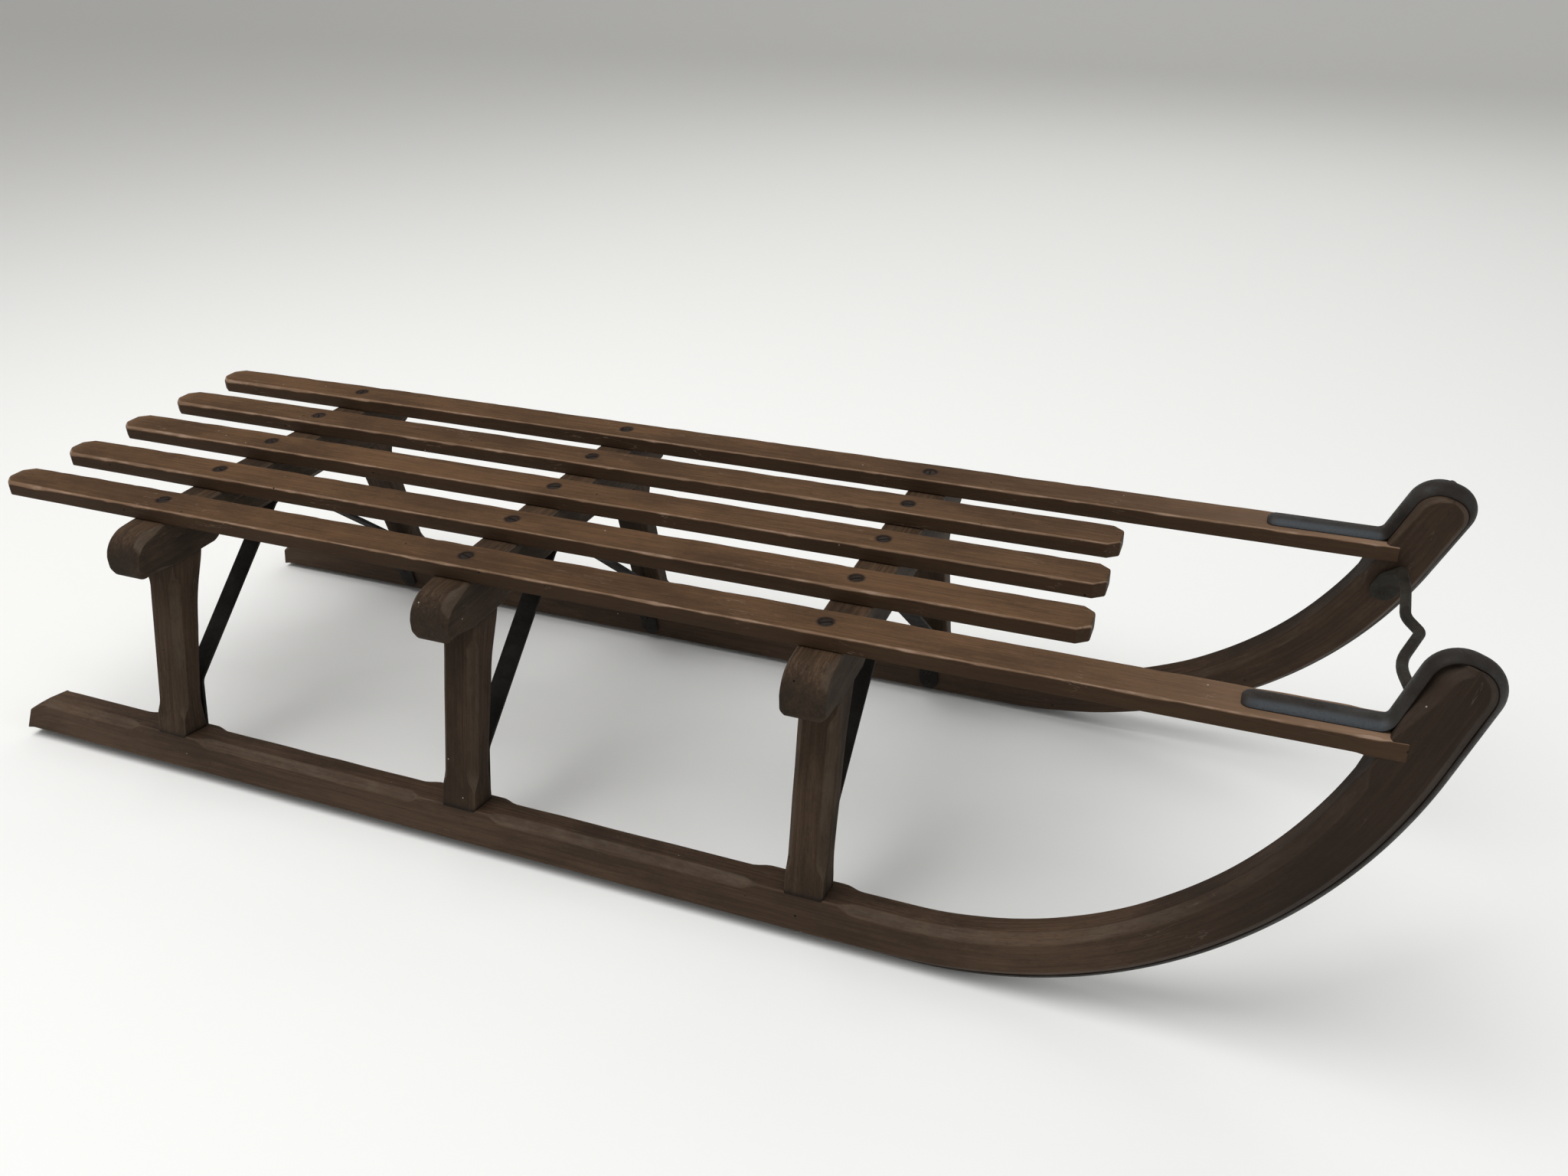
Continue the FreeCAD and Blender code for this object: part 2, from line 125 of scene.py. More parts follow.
def roundedEnds(along, low, high, radius):
    # Extra stations on a quarter circle at both ends, and how far the section shrinks there.
    angles = np.radians([0, 30, 60, 90])
    first = low + radius * (1 - np.cos(angles))
    last = high - radius * (1 - np.cos(angles))[::-1]
    inner = along[(along > low + radius + 0.3) & (along < high - radius - 0.3)]
    whole = np.concatenate([first, inner, last])
    shrink = np.concatenate([radius * (1 - np.sin(angles)), np.zeros(len(inner)),
                             radius * (1 - np.sin(angles))[::-1]])
    return whole, shrink


def roundedPath(points, radii):
    # Straight runs whose corners are replaced by circular arcs: each arc starts and ends
    # r tan(turn / 2) from the corner, with a point at least every 7 degrees and every 5 mm.
    points = [np.asarray(p, float) for p in points]
    path = [points[0]]
    for before, corner, after, radius in zip(points, points[1:], points[2:], radii):
        arrive, leave = unit(corner - before), unit(after - corner)
        turn = math.acos(float(np.clip(arrive @ leave, -1, 1)))
        inward = unit(leave - arrive)
        centre = corner + inward * radius / math.cos(turn / 2)
        tangent = unit(arrive + leave)
        count = max(3, math.ceil(math.degrees(turn) / 7), math.ceil(radius * turn / 5))
        swing = np.linspace(-turn / 2, turn / 2, count)[:, None]
        path.append(centre - inward * radius * np.cos(swing) + tangent * radius * np.sin(swing))
    path.append(points[-1])
    return np.vstack(path)


def resample(path, step):
    # the same line with no run longer than step
    gaps = np.linalg.norm(np.diff(path, axis=0), axis=1)
    far = np.concatenate([[0], np.cumsum(gaps)])
    parts = [np.linspace(a, b, max(1, math.ceil((b - a) / step)), endpoint=False)
             for a, b in zip(far, far[1:]) if b - a > 1e-6]
    places = np.concatenate(parts + [[far[-1]]])
    return np.stack([np.interp(places, far, path[:, k]) for k in range(3)], axis=1), places


def carried(path, side, profile):
    # Each profile (u, v) is laid at its path point: u along the side axis, v along tangent x side.
    tangent = unit(np.gradient(path, axis=0))
    lift = unit(np.cross(tangent, side))
    across = np.cross(lift, tangent)
    return path[:, None] + profile[..., :1] * across[:, None] + profile[..., 1:] * lift[:, None]


def addObject(name, data):
    thing = bpy.data.objects.new(name, data)
    bpy.context.scene.collection.objects.link(thing)
    return thing


def makeMesh(name, points, quads, triangles, material, slot, nodes=(), **layers):
    # Vertex normals are the sum of the face normals times the face areas, so that narrow eased
    # edges turn the light and the broad flats stay flat.
    points = np.asarray(points, float) * mm
    quads, triangles = np.asarray(quads, int).reshape(-1, 4), np.asarray(triangles, int).reshape(-1, 3)
    quadArea = np.cross(points[quads[:, 2]] - points[quads[:, 0]], points[quads[:, 3]] - points[quads[:, 1]])
    triArea = np.cross(points[triangles[:, 1]] - points[triangles[:, 0]],
                       points[triangles[:, 2]] - points[triangles[:, 0]])
    volume = ((points[quads].mean(1) * quadArea).sum() + (points[triangles].mean(1) * triArea).sum())
    if volume < 0:
        quads, triangles = quads[:, ::-1], triangles[:, ::-1]
        quadArea, triArea = -quadArea, -triArea
    normals = np.zeros_like(points)
    for faces, area in ((quads, quadArea), (triangles, triArea)):
        for k in range(faces.shape[1]):
            np.add.at(normals, faces[:, k], area)
    mesh = bpy.data.meshes.new(name)
    mesh.from_pydata(points.tolist(), [], quads.tolist() + triangles.tolist())
    mesh.polygons.foreach_set("use_smooth", np.ones(len(mesh.polygons), bool))
    for layer, values in layers.items():
        values = np.asarray(values, np.float32)
        kind, field = ("FLOAT_VECTOR", "vector") if values.ndim == 2 else ("FLOAT", "value")
        mesh.attributes.new(layer, kind, "POINT").data.foreach_set(field, values.ravel())
    mesh.normals_split_custom_set_from_vertices(unit(normals).tolist())
    mesh.materials.append(material)
    piece = addObject(name, mesh)
    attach(piece, "root")
    if nodes:
        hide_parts(*nodes)
    return piece


def skinFaces(count, size):
    # quads between rings, and a fan from each end ring to its own middle point
    ring, step = np.meshgrid(np.arange(count - 1), np.arange(size), indexing="ij")
    after = (step + 1) % size
    quads = np.stack([ring * size + step, (ring + 1) * size + step,
                      (ring + 1) * size + after, ring * size + after], axis=-1)
    k = np.arange(size)
    first, last = count * size, count * size + 1
    triangles = np.concatenate([
        np.stack([np.full(size, first), k, (k + 1) % size], axis=1),
        np.stack([np.full(size, last), (count - 1) * size + (k + 1) % size,
                  (count - 1) * size + k], axis=1)])
    return quads, triangles


def withMiddles(values):
    # a layer of the rings as one list, with the middle of both end rings added
    flat = values.reshape(-1, values.shape[-1]) if values.ndim == 3 else values.ravel()
    return np.concatenate([flat, values[:1].mean(1), values[-1:].mean(1)])


def makeSkin(name, rings, material, slot, node, **layers):
    # a closed skin over rings of points
    makeMesh(name, withMiddles(rings), *skinFaces(*rings.shape[:2]), finish[material], slot, [node], **layers)


def shell(top, bottom):
    # Two grids of the same size, one over the other, closed all round their edges.
    rows, columns = top.shape[:2]
    index = np.arange(rows * columns).reshape(rows, columns)
    grid = np.stack([index[:-1, :-1], index[1:, :-1], index[1:, 1:], index[:-1, 1:]], axis=-1).reshape(-1, 4)
    rim = np.concatenate([index[0, :-1], index[:-1, -1], index[-1, :0:-1], index[:0:-1, 0]])
    after, under = np.roll(rim, -1), rows * columns
    wall = np.stack([rim, after, after + under, rim + under], axis=1)
    points = np.concatenate([top.reshape(-1, 3), bottom.reshape(-1, 3)])
    return points, np.concatenate([grid, grid[:, ::-1] + under, wall])


print("shape functions ready")


def link(tree, socket, value):
    if isinstance(value, bpy.types.NodeSocket):
        tree.links.new(value, socket)
    else:
        socket.default_value = (*value, 1) if socket.type == "RGBA" else value


def addNode(tree, kind, **sockets):
    # a node with its inputs set by name, where an underscore stands for a space
    node = tree.nodes.new(kind)
    for name, value in sockets.items():
        link(tree, node.inputs[name.replace("_", " ")], value)
    return node


def maths(tree, operation, *values):
    node = tree.nodes.new("ShaderNodeMath")
    node.operation = operation
    for socket, value in zip(node.inputs, values):
        link(tree, socket, value)
    return node.outputs[0]


def times(tree, first, second):
    return maths(tree, "MULTIPLY", first, second)


def ramp(tree, factor, low, high, start=0.0, end=1.0):
    node = addNode(tree, "ShaderNodeMapRange", Value=factor, From_Min=low, From_Max=high,
                   To_Min=start, To_Max=end)
    node.interpolation_type = "SMOOTHSTEP"
    return node.outputs[0]


def mixColour(tree, factor, first, second, blend="MIX"):
    node = tree.nodes.new("ShaderNodeMix")
    node.data_type, node.blend_type = "RGBA", blend
    for place, value in ((0, factor), (6, first), (7, second)):
        link(tree, node.inputs[place], value)
    return node.outputs[2]


def noise(tree, vector, scale, detail=3.0, rough=0.6, stretch=(1, 1, 1), turn=(0, 0, 0), shift=(0, 0, 0)):
    mapped = addNode(tree, "ShaderNodeMapping", Vector=vector, Scale=stretch, Rotation=turn, Location=shift)
    return addNode(tree, "ShaderNodeTexNoise", Vector=mapped.outputs[0], Scale=scale, Detail=detail,
                   Roughness=rough).outputs[0]


def newGroup(name, inputs, outputs):
    kinds = {"v": "NodeSocketVector", "c": "NodeSocketColor", "f": "NodeSocketFloat"}
    group = bpy.data.node_groups.new(name, "ShaderNodeTree")
    for socketName, kind in inputs:
        group.interface.new_socket(socketName, in_out="INPUT", socket_type=kinds[kind])
    for socketName, kind in outputs:
        group.interface.new_socket(socketName, in_out="OUTPUT", socket_type=kinds[kind])
    given, result = group.nodes.new("NodeGroupInput"), group.nodes.new("NodeGroupOutput")
    return group, given.outputs, result.inputs


def useGroup(tree, group, **sockets):
    node = tree.nodes.new("ShaderNodeGroup")
    node.node_tree = group
    for name, value in sockets.items():
        link(tree, node.inputs[name], value)
    return node.outputs


def buildGrain():
    # Streaks are noise drawn out along x, fibres are the same but finer, and ray flecks are short
    # dashes where a third noise is high. Tone varies broadly over some hundred millimetres.
    group, given, result = newGroup(
        "woodGrain", [("Place", "v"), ("Dark", "c"), ("Light", "c"), ("Fleck", "f")],
        [("Colour", "c"), ("Height", "f")])
    place = given["Place"]
    streak = noise(group, place, 520, 6, 0.66, (0.022, 1, 0.8))
    fibre = noise(group, place, 2400, 3, 0.6, (0.022, 1, 1))
    tone = noise(group, place, 16, 4, 0.55, (0.35, 1, 1), shift=(3.1, 0.4, 0.7))
    fleck = noise(group, place, 1500, 2, 0.5, (0.13, 1, 1), shift=(1.7, 0.2, 0.9))
    mixed = maths(group, "MULTIPLY_ADD", streak, 0.62, times(group, tone, 0.38))
    colour = mixColour(group, ramp(group, mixed, 0.34, 0.66), given["Dark"], given["Light"])
    fine = ramp(group, fibre, 0.3, 0.7, 0.80, 1.12)
    fineColour = addNode(group, "ShaderNodeCombineColor", Red=fine, Green=fine, Blue=fine).outputs[0]
    colour = mixColour(group, 1.0, colour, fineColour, "MULTIPLY")
    spots = times(group, ramp(group, fleck, 0.60, 0.70), given["Fleck"])
    colour = mixColour(group, spots, colour, (0.018, 0.011, 0.008))
    height = maths(group, "SUBTRACT", maths(group, "MULTIPLY_ADD", fibre, 0.5, streak),
                   times(group, spots, 0.8))
    group.links.new(colour, result["Colour"])
    group.links.new(height, result["Height"])
    return group


def buildEdgeWear():
    # Edge is 1 on the flat of a chamfer and falls to 0 beside it. It is multiplied by a noise round
    # one, so that the worn band is ragged, and a broad noise picks where it is worn to bare wood.
    group, given, result = newGroup("edgeWear", [("Place", "v"), ("Edge", "f"), ("Breakup", "f")],
                                    [("Mask", "f"), ("Bare", "f")])
    rough = noise(group, given["Place"], 330, 5, 0.7, (0.22, 1, 1))
    broad = noise(group, given["Place"], 60, 4, 0.65, (0.45, 1, 1), shift=(5, 1, 2))
    swing = maths(group, "MULTIPLY_ADD", maths(group, "SUBTRACT", rough, 0.5), given["Breakup"], 1.0)
    level = times(group, given["Edge"], swing)
    mask = ramp(group, level, 0.30, 0.85)
    group.links.new(mask, result["Mask"])
    group.links.new(times(group, ramp(group, level, 0.75, 1.05), ramp(group, broad, 0.42, 0.62)),
                    result["Bare"])
    return group


def buildGrime():
    # Blotches of old dirt: a slow and a quick noise added, cut off at a level that Amount lowers.
    group, given, result = newGroup(
        "grime", [("Place", "v"), ("Scale", "f"), ("Amount", "f")], [("Mask", "f"), ("Dust", "f")])
    slow = noise(group, given["Place"], given["Scale"], 6, 0.66, (0.45, 1, 1), shift=(9, 4, 1))
    quick = noise(group, given["Place"], 620, 4, 0.7, (0.5, 1, 1))
    level = maths(group, "MULTIPLY_ADD", quick, 0.22, slow)
    mask = times(group, ramp(group, level, 0.50, 0.78), given["Amount"])
    group.links.new(mask, result["Mask"])
    group.links.new(ramp(group, quick, 0.58, 0.78), result["Dust"])
    return group


def buildMarks():
    # Worm holes are round dots in some cells of a Voronoi pattern, specks of old paint are smaller
    # dots in a few cells of another, and scratches are thin level lines of drawn-out noise.
    group, given, result = newGroup(
        "marks", [("Place", "v"), ("Seed", "f")], [("Holes", "f"), ("Specks", "f"), ("Scratches", "f")])
    shifted = addNode(group, "ShaderNodeVectorMath")
    shifted.operation = "ADD"
    group.links.new(given["Place"], shifted.inputs[0])
    seed = addNode(group, "ShaderNodeCombineXYZ", X=given["Seed"]).outputs[0]
    group.links.new(seed, shifted.inputs[1])
    for name, scale, radius, rare in (("Holes", 55.0, 0.052, 0.42), ("Specks", 75.0, 0.050, 0.22)):
        cells = addNode(group, "ShaderNodeTexVoronoi", Vector=shifted.outputs[0], Scale=scale)
        dot = ramp(group, cells.outputs["Distance"], radius, radius * 0.6)
        pick = maths(group, "LESS_THAN", addNode(group, "ShaderNodeSeparateColor",
                                                 Color=cells.outputs["Color"]).outputs[0], rare)
        group.links.new(times(group, dot, pick), result[name])
    lines = noise(group, shifted.outputs[0], 26, 4, 0.5, (0.35, 3.2, 3.2), turn=(0.0, 0.1, 0.22))
    off = maths(group, "ABSOLUTE", maths(group, "SUBTRACT", lines, 0.5))
    where = noise(group, shifted.outputs[0], 18, 2, 0.5, shift=(2, 7, 3))
    group.links.new(times(group, ramp(group, off, 0.0035, 0.0), ramp(group, where, 0.5, 0.6)),
                    result["Scratches"])
    return group


grainGroup, edgeGroup, grimeGroup, marksGroup = buildGrain(), buildEdgeWear(), buildGrime(), buildMarks()


def newMaterial(name):
    material = bpy.data.materials.new(name)
    material.use_nodes = True
    return material, material.node_tree


def meshLayer(tree, name, output="Fac"):
    node = tree.nodes.new("ShaderNodeAttribute")
    node.attribute_name = name
    return node.outputs[output]


def fillShader(tree, **values):
    for name, value in values.items():
        link(tree, tree.nodes["Principled BSDF"].inputs[name.replace("_", " ")], value)


def bump(tree, height, strength):
    return addNode(tree, "ShaderNodeBump", Height=height, Strength=strength, Distance=0.0005).outputs[0]


def woodMaterial(name, look):
    material, tree = newMaterial(name)
    place, edging, soil = meshLayer(tree, "grain", "Vector"), meshLayer(tree, "edge"), meshLayer(tree, "soil")
    wood = useGroup(tree, grainGroup, Place=place, Dark=look["dark"], Light=look["light"],
                    Fleck=look["fleck"])
    edge = useGroup(tree, edgeGroup, Place=place, Edge=edging, Breakup=look["breakup"])
    dirt = useGroup(tree, grimeGroup, Place=place, Scale=look["grimeScale"], Amount=look["grime"])
    marks = useGroup(tree, marksGroup, Place=place, Seed=look["seed"])
    colour = mixColour(tree, dirt["Mask"], wood["Colour"], look["stain"])
    # faces that look up have been rubbed lighter; those that look sideways or down get painted shade, mixed
    # towards the side colour
    facing = addNode(tree, "ShaderNodeSeparateXYZ",
                     Vector=addNode(tree, "ShaderNodeNewGeometry").outputs["Normal"]).outputs[2]
    shade = times(tree, ramp(tree, facing, 0.80, 0.45), look["paintedSideShade"])
    colour = mixColour(tree, shade, colour, look["side"])
    bleached = times(tree, ramp(tree, soil, 0.0, -1.0), ramp(tree, facing, 0.5, 0.8, 0.05, 1.0))
    colour = mixColour(tree, bleached, colour, look["worn"])
    wearAndSheen = mixColour(tree, 0.55, wood["Colour"], look["worn"])
    lit = ramp(tree, facing, -0.35, 0.1)
    worn = times(tree, times(tree, edge["Mask"], look["wear"]), lit)
    colour = mixColour(tree, worn, colour, wearAndSheen)
    colour = mixColour(tree, times(tree, edge["Bare"], look["line"]), colour, look["bare"])
    soiled = times(tree, ramp(tree, maths(tree, "MULTIPLY_ADD", dirt["Dust"], 0.25, soil), 0.2, 1.1),
                   0.8)
    colour = mixColour(tree, soiled, colour, (0.016, 0.012, 0.010))
    colour = mixColour(tree, times(tree, marks["Scratches"], 0.35), colour, look["bare"])
    colour = mixColour(tree, marks["Holes"], colour, (0.006, 0.004, 0.003))
    colour = mixColour(tree, times(tree, marks["Specks"], 0.7), colour, (0.42, 0.38, 0.33))
    rough = maths(tree, "MULTIPLY_ADD", dirt["Mask"], 0.16, look["rough"])
    rough = maths(tree, "MULTIPLY_ADD", edge["Mask"], -0.08, rough)
    height = maths(tree, "SUBTRACT", wood["Height"], times(tree, marks["Holes"], 2.5))
    height = maths(tree, "SUBTRACT", height, times(tree, marks["Scratches"], 0.4))
    fillShader(tree, Base_Color=colour, Roughness=rough, Specular_IOR_Level=0.06,
               Normal=bump(tree, height, 0.55))
    return material


def ironMaterial(name, look):
    material, tree = newMaterial(name)
    place = addNode(tree, "ShaderNodeTexCoord").outputs["Object"]
    dirt = useGroup(tree, grimeGroup, Place=place, Scale=look["rustScale"], Amount=look["rust"])
    pits = noise(tree, place, 700, 5, 0.7)
    dents = noise(tree, place, 90, 3, 0.5)
    polish = ramp(tree, noise(tree, place, 28, 4, 0.6), 0.40, 0.62)
    colour = mixColour(tree, polish, look["dark"], look["light"])
    colour = mixColour(tree, dirt["Mask"], colour, look["rustColour"])
    # painted reflection: the shoes' outer flanks on the slat are mixed towards a lighter blue-grey
    wearAndSheen = times(tree, meshLayer(tree, "flank"), ramp(tree, pits, 0.25, 0.6, 0.5, 1.0))
    colour = mixColour(tree, wearAndSheen, colour, look["wearAndSheen"])
    colour = mixColour(tree, ramp(tree, pits, 0.62, 0.74, 0.0, 0.6), colour, (0.012, 0.010, 0.009))
    metal = maths(tree, "MULTIPLY_ADD", dirt["Mask"], -0.6 * look["metal"], look["metal"])
    rough = maths(tree, "MULTIPLY_ADD", dirt["Mask"], 0.3, ramp(tree, pits, 0.3, 0.7, look["rough"] - 0.06,
                                                                look["rough"] + 0.12))
    height = maths(tree, "MULTIPLY_ADD", dents, 1.5, pits)
    fillShader(tree, Base_Color=colour, Metallic=metal, Roughness=rough, Specular_IOR_Level=0.15,
               Normal=bump(tree, height, 0.5))
    return material


# each look's side colour, and the factor after it, paint shade on faces that look sideways or down
woodLooks = {
    "slatWood": {"dark": (0.07, 0.036, 0.017), "light": (0.122, 0.065, 0.031), "fleck": 0.35, "seed": 0.3,
                 "breakup": 1.3, "wear": 0.95, "line": 0.8, "worn": (0.25, 0.16, 0.105),
                 "bare": (0.32, 0.22, 0.16), "stain": (0.03, 0.017, 0.01), "side": (0.034, 0.021, 0.013),
                 "paintedSideShade": 0.75, "grime": 0.5, "grimeScale": 20.0, "rough": 0.55},
    "crossbarWood": {"dark": (0.035, 0.021, 0.012), "light": (0.092, 0.056, 0.034), "fleck": 0.5, "seed": 1.1,
                     "breakup": 1.0, "wear": 0.5, "line": 0.25, "worn": (0.105, 0.082, 0.062),
                     "bare": (0.14, 0.11, 0.085), "stain": (0.018, 0.013, 0.01), "side": (0.03, 0.024, 0.018),
                     "paintedSideShade": 0.45, "grime": 0.7, "grimeScale": 32.0, "rough": 0.6},
    "legWood": {"dark": (0.036, 0.022, 0.014), "light": (0.084, 0.053, 0.033), "fleck": 0.5, "seed": 2.2,
                "breakup": 1.0, "wear": 0.5, "line": 0.35, "worn": (0.066, 0.05, 0.036),
                "bare": (0.1, 0.075, 0.052), "stain": (0.018, 0.013, 0.009), "side": (0.034, 0.024, 0.017),
                "paintedSideShade": 0.25, "grime": 0.7, "grimeScale": 26.0, "rough": 0.62},
    "runnerWood": {"dark": (0.044, 0.026, 0.016), "light": (0.1, 0.06, 0.037), "fleck": 0.45, "seed": 3.4,
                   "breakup": 1.0, "wear": 0.45, "line": 0.25, "worn": (0.1, 0.074, 0.055),
                   "bare": (0.15, 0.115, 0.085), "stain": (0.022, 0.016, 0.012), "side": (0.056, 0.038, 0.026),
                   "paintedSideShade": 0.35, "grime": 0.65, "grimeScale": 22.0, "rough": 0.56},
}
# the shoe steel's lighter blue-grey is a painted reflection for its flanks; the other irons have no flank
# layer, so theirs is never used
ironLooks = {
    "shoeSteel": {"dark": (0.017, 0.014, 0.012), "light": (0.034, 0.031, 0.028), "rust": 0.5,
                  "rustScale": 60.0, "rustColour": (0.022, 0.015, 0.011), "wearAndSheen": (0.056, 0.064, 0.072),
                  "metal": 0.15, "rough": 0.46},
    "braceIron": {"dark": (0.009, 0.008, 0.007), "light": (0.02, 0.018, 0.015), "rust": 0.6, "rustScale": 70.0,
                  "rustColour": (0.014, 0.01, 0.007), "wearAndSheen": (0.02, 0.02, 0.02),
                  "metal": 0.2, "rough": 0.6},
    "rodIron": {"dark": (0.014, 0.012, 0.009), "light": (0.03, 0.027, 0.021), "rust": 0.6, "rustScale": 90.0,
                "rustColour": (0.02, 0.014, 0.01), "wearAndSheen": (0.04, 0.04, 0.04), "metal": 0.2, "rough": 0.55},
    "screwIron": {"dark": (0.012, 0.009, 0.007), "light": (0.028, 0.022, 0.018), "rust": 0.8,
                  "rustScale": 200.0, "rustColour": (0.026, 0.015, 0.01), "wearAndSheen": (0.04, 0.04, 0.04),
                  "metal": 0.3, "rough": 0.55},
}
finish = {name: woodMaterial(name, look) for name, look in woodLooks.items()}
finish.update({name: ironMaterial(name, look) for name, look in ironLooks.items()})
print("finishes made:", ", ".join(finish))


screw = {"radius": 4.3, "dome": 0.35, "slot": 1.1, "slotDepth": 1.1, "length": 3.0}


def screwHead(name, centre, out, slotAlong, radius=screw["radius"], dome=screw["dome"]):
    # The head is a grid of chords: x runs over the sine of an angle, y over each chord's length.
    # Its height is a shallow dome, less a groove with sloping walls along the slot.
    centre, out = np.asarray(centre, float), unit(np.asarray(out, float))
    slotAlong = unit(np.asarray(slotAlong, float) - out * (np.asarray(slotAlong, float) @ out))
    across = np.cross(slotAlong, out)
    half = screw["slot"] / 2 / radius
    inner = np.array([-1.25 * half, -half, half, 1.25 * half])
    sines = np.sort(np.concatenate([np.sin(np.radians(np.linspace(-82, 82, 17))), inner]))
    sines = sines[np.abs(sines) > 0.9 * half]
    chords = np.sin(np.radians(np.linspace(-90, 90, 11)))
    x = (radius * sines)[:, None] * np.ones(len(chords))
    y = radius * np.sqrt(1 - sines ** 2)[:, None] * chords
    far = (x ** 2 + y ** 2) / radius ** 2
    height = dome * (1 - far) - 0.35 * smooth((far - 0.8) / 0.2)
    height = height - screw["slotDepth"] * (np.abs(sines) < 1.1 * half)[:, None]

    def laid(x, y, height):
        return centre + x[..., None] * across + y[..., None] * slotAlong + height[..., None] * out

    points, quads = shell(laid(x, y, height), laid(x * 0.8, y * 0.8, np.full_like(x, -screw["length"])))
    return makeMesh(name, points, quads, [], finish["screwIron"], "dark_iron")


slat = {"ease": 0.8, "topCut": 1.25, "underCut": 0.9, "cornerBack": 8.0, "cornerSide": 6.0, "wornBack": 1.7,
        "shortInHorn": 6.5, "pitRadius": 5.3, "pitDepth": 1.6, "pitPatch": 11.0,
        "cant": math.radians(10.5), "flushFrom": 26.0}
screwOffsets = {"crossbar_rear": 4.0, "crossbar_middle": 4.0, "crossbar_front": -1.0}
screwPlaces = [float((nodeBox(n)[0] + nodeBox(n)[1])[0]) / 2 + shift for n, shift in screwOffsets.items()]


def pit(corners, centre, top, firstIndex, radius, depth):
    # Rings of points on circles: a soiled one, the rim and the cone below it. The flat round them
    # is filled with triangles from the four corners, each corner taking a quarter of the circle.
    count = 32
    angles = np.radians(-135 + np.arange(count) * 360 / count)
    sizes = np.array([1.35, 1.0, 0.96, 0.90, 0.72]) * radius
    drops = np.array([0, 0, 0.12, 0.5, 1.0]) * depth
    circle = np.stack([np.cos(angles), np.sin(angles)], axis=1)
    rings = np.concatenate([
        np.concatenate([centre + size * circle, np.full((count, 1), top - drop)], axis=1)
        for size, drop in zip(sizes, drops)])
    points = np.concatenate([rings, [[*centre, top - depth]]])
    soil = np.concatenate([np.repeat([0.25, 1.0, 1.2, 1.3, 1.3], count), [1.3]])
    k = np.arange(count)
    after = (k + 1) % count
    owner = ((k + 4) // 8) % 4
    corners = np.asarray(corners)
    outer = np.stack([corners[owner], firstIndex + after, firstIndex + k], axis=1)
    side = np.arange(4)
    fill = np.stack([corners[side], corners[(side + 1) % 4], firstIndex + (8 * side + 4) % count], axis=1)
    centreIndex = firstIndex + 5 * count
    floor = np.stack([firstIndex + 4 * count + k, firstIndex + 4 * count + after,
                      np.full(count, centreIndex)], axis=1)
    quads = np.concatenate([np.stack([firstIndex + r * count + k, firstIndex + r * count + after,
                                      firstIndex + (r + 1) * count + after, firstIndex + (r + 1) * count + k],
                                     axis=1) for r in range(4)])
    return points, soil, quads[:, ::-1], np.concatenate([outer, fill, floor])[:, ::-1]


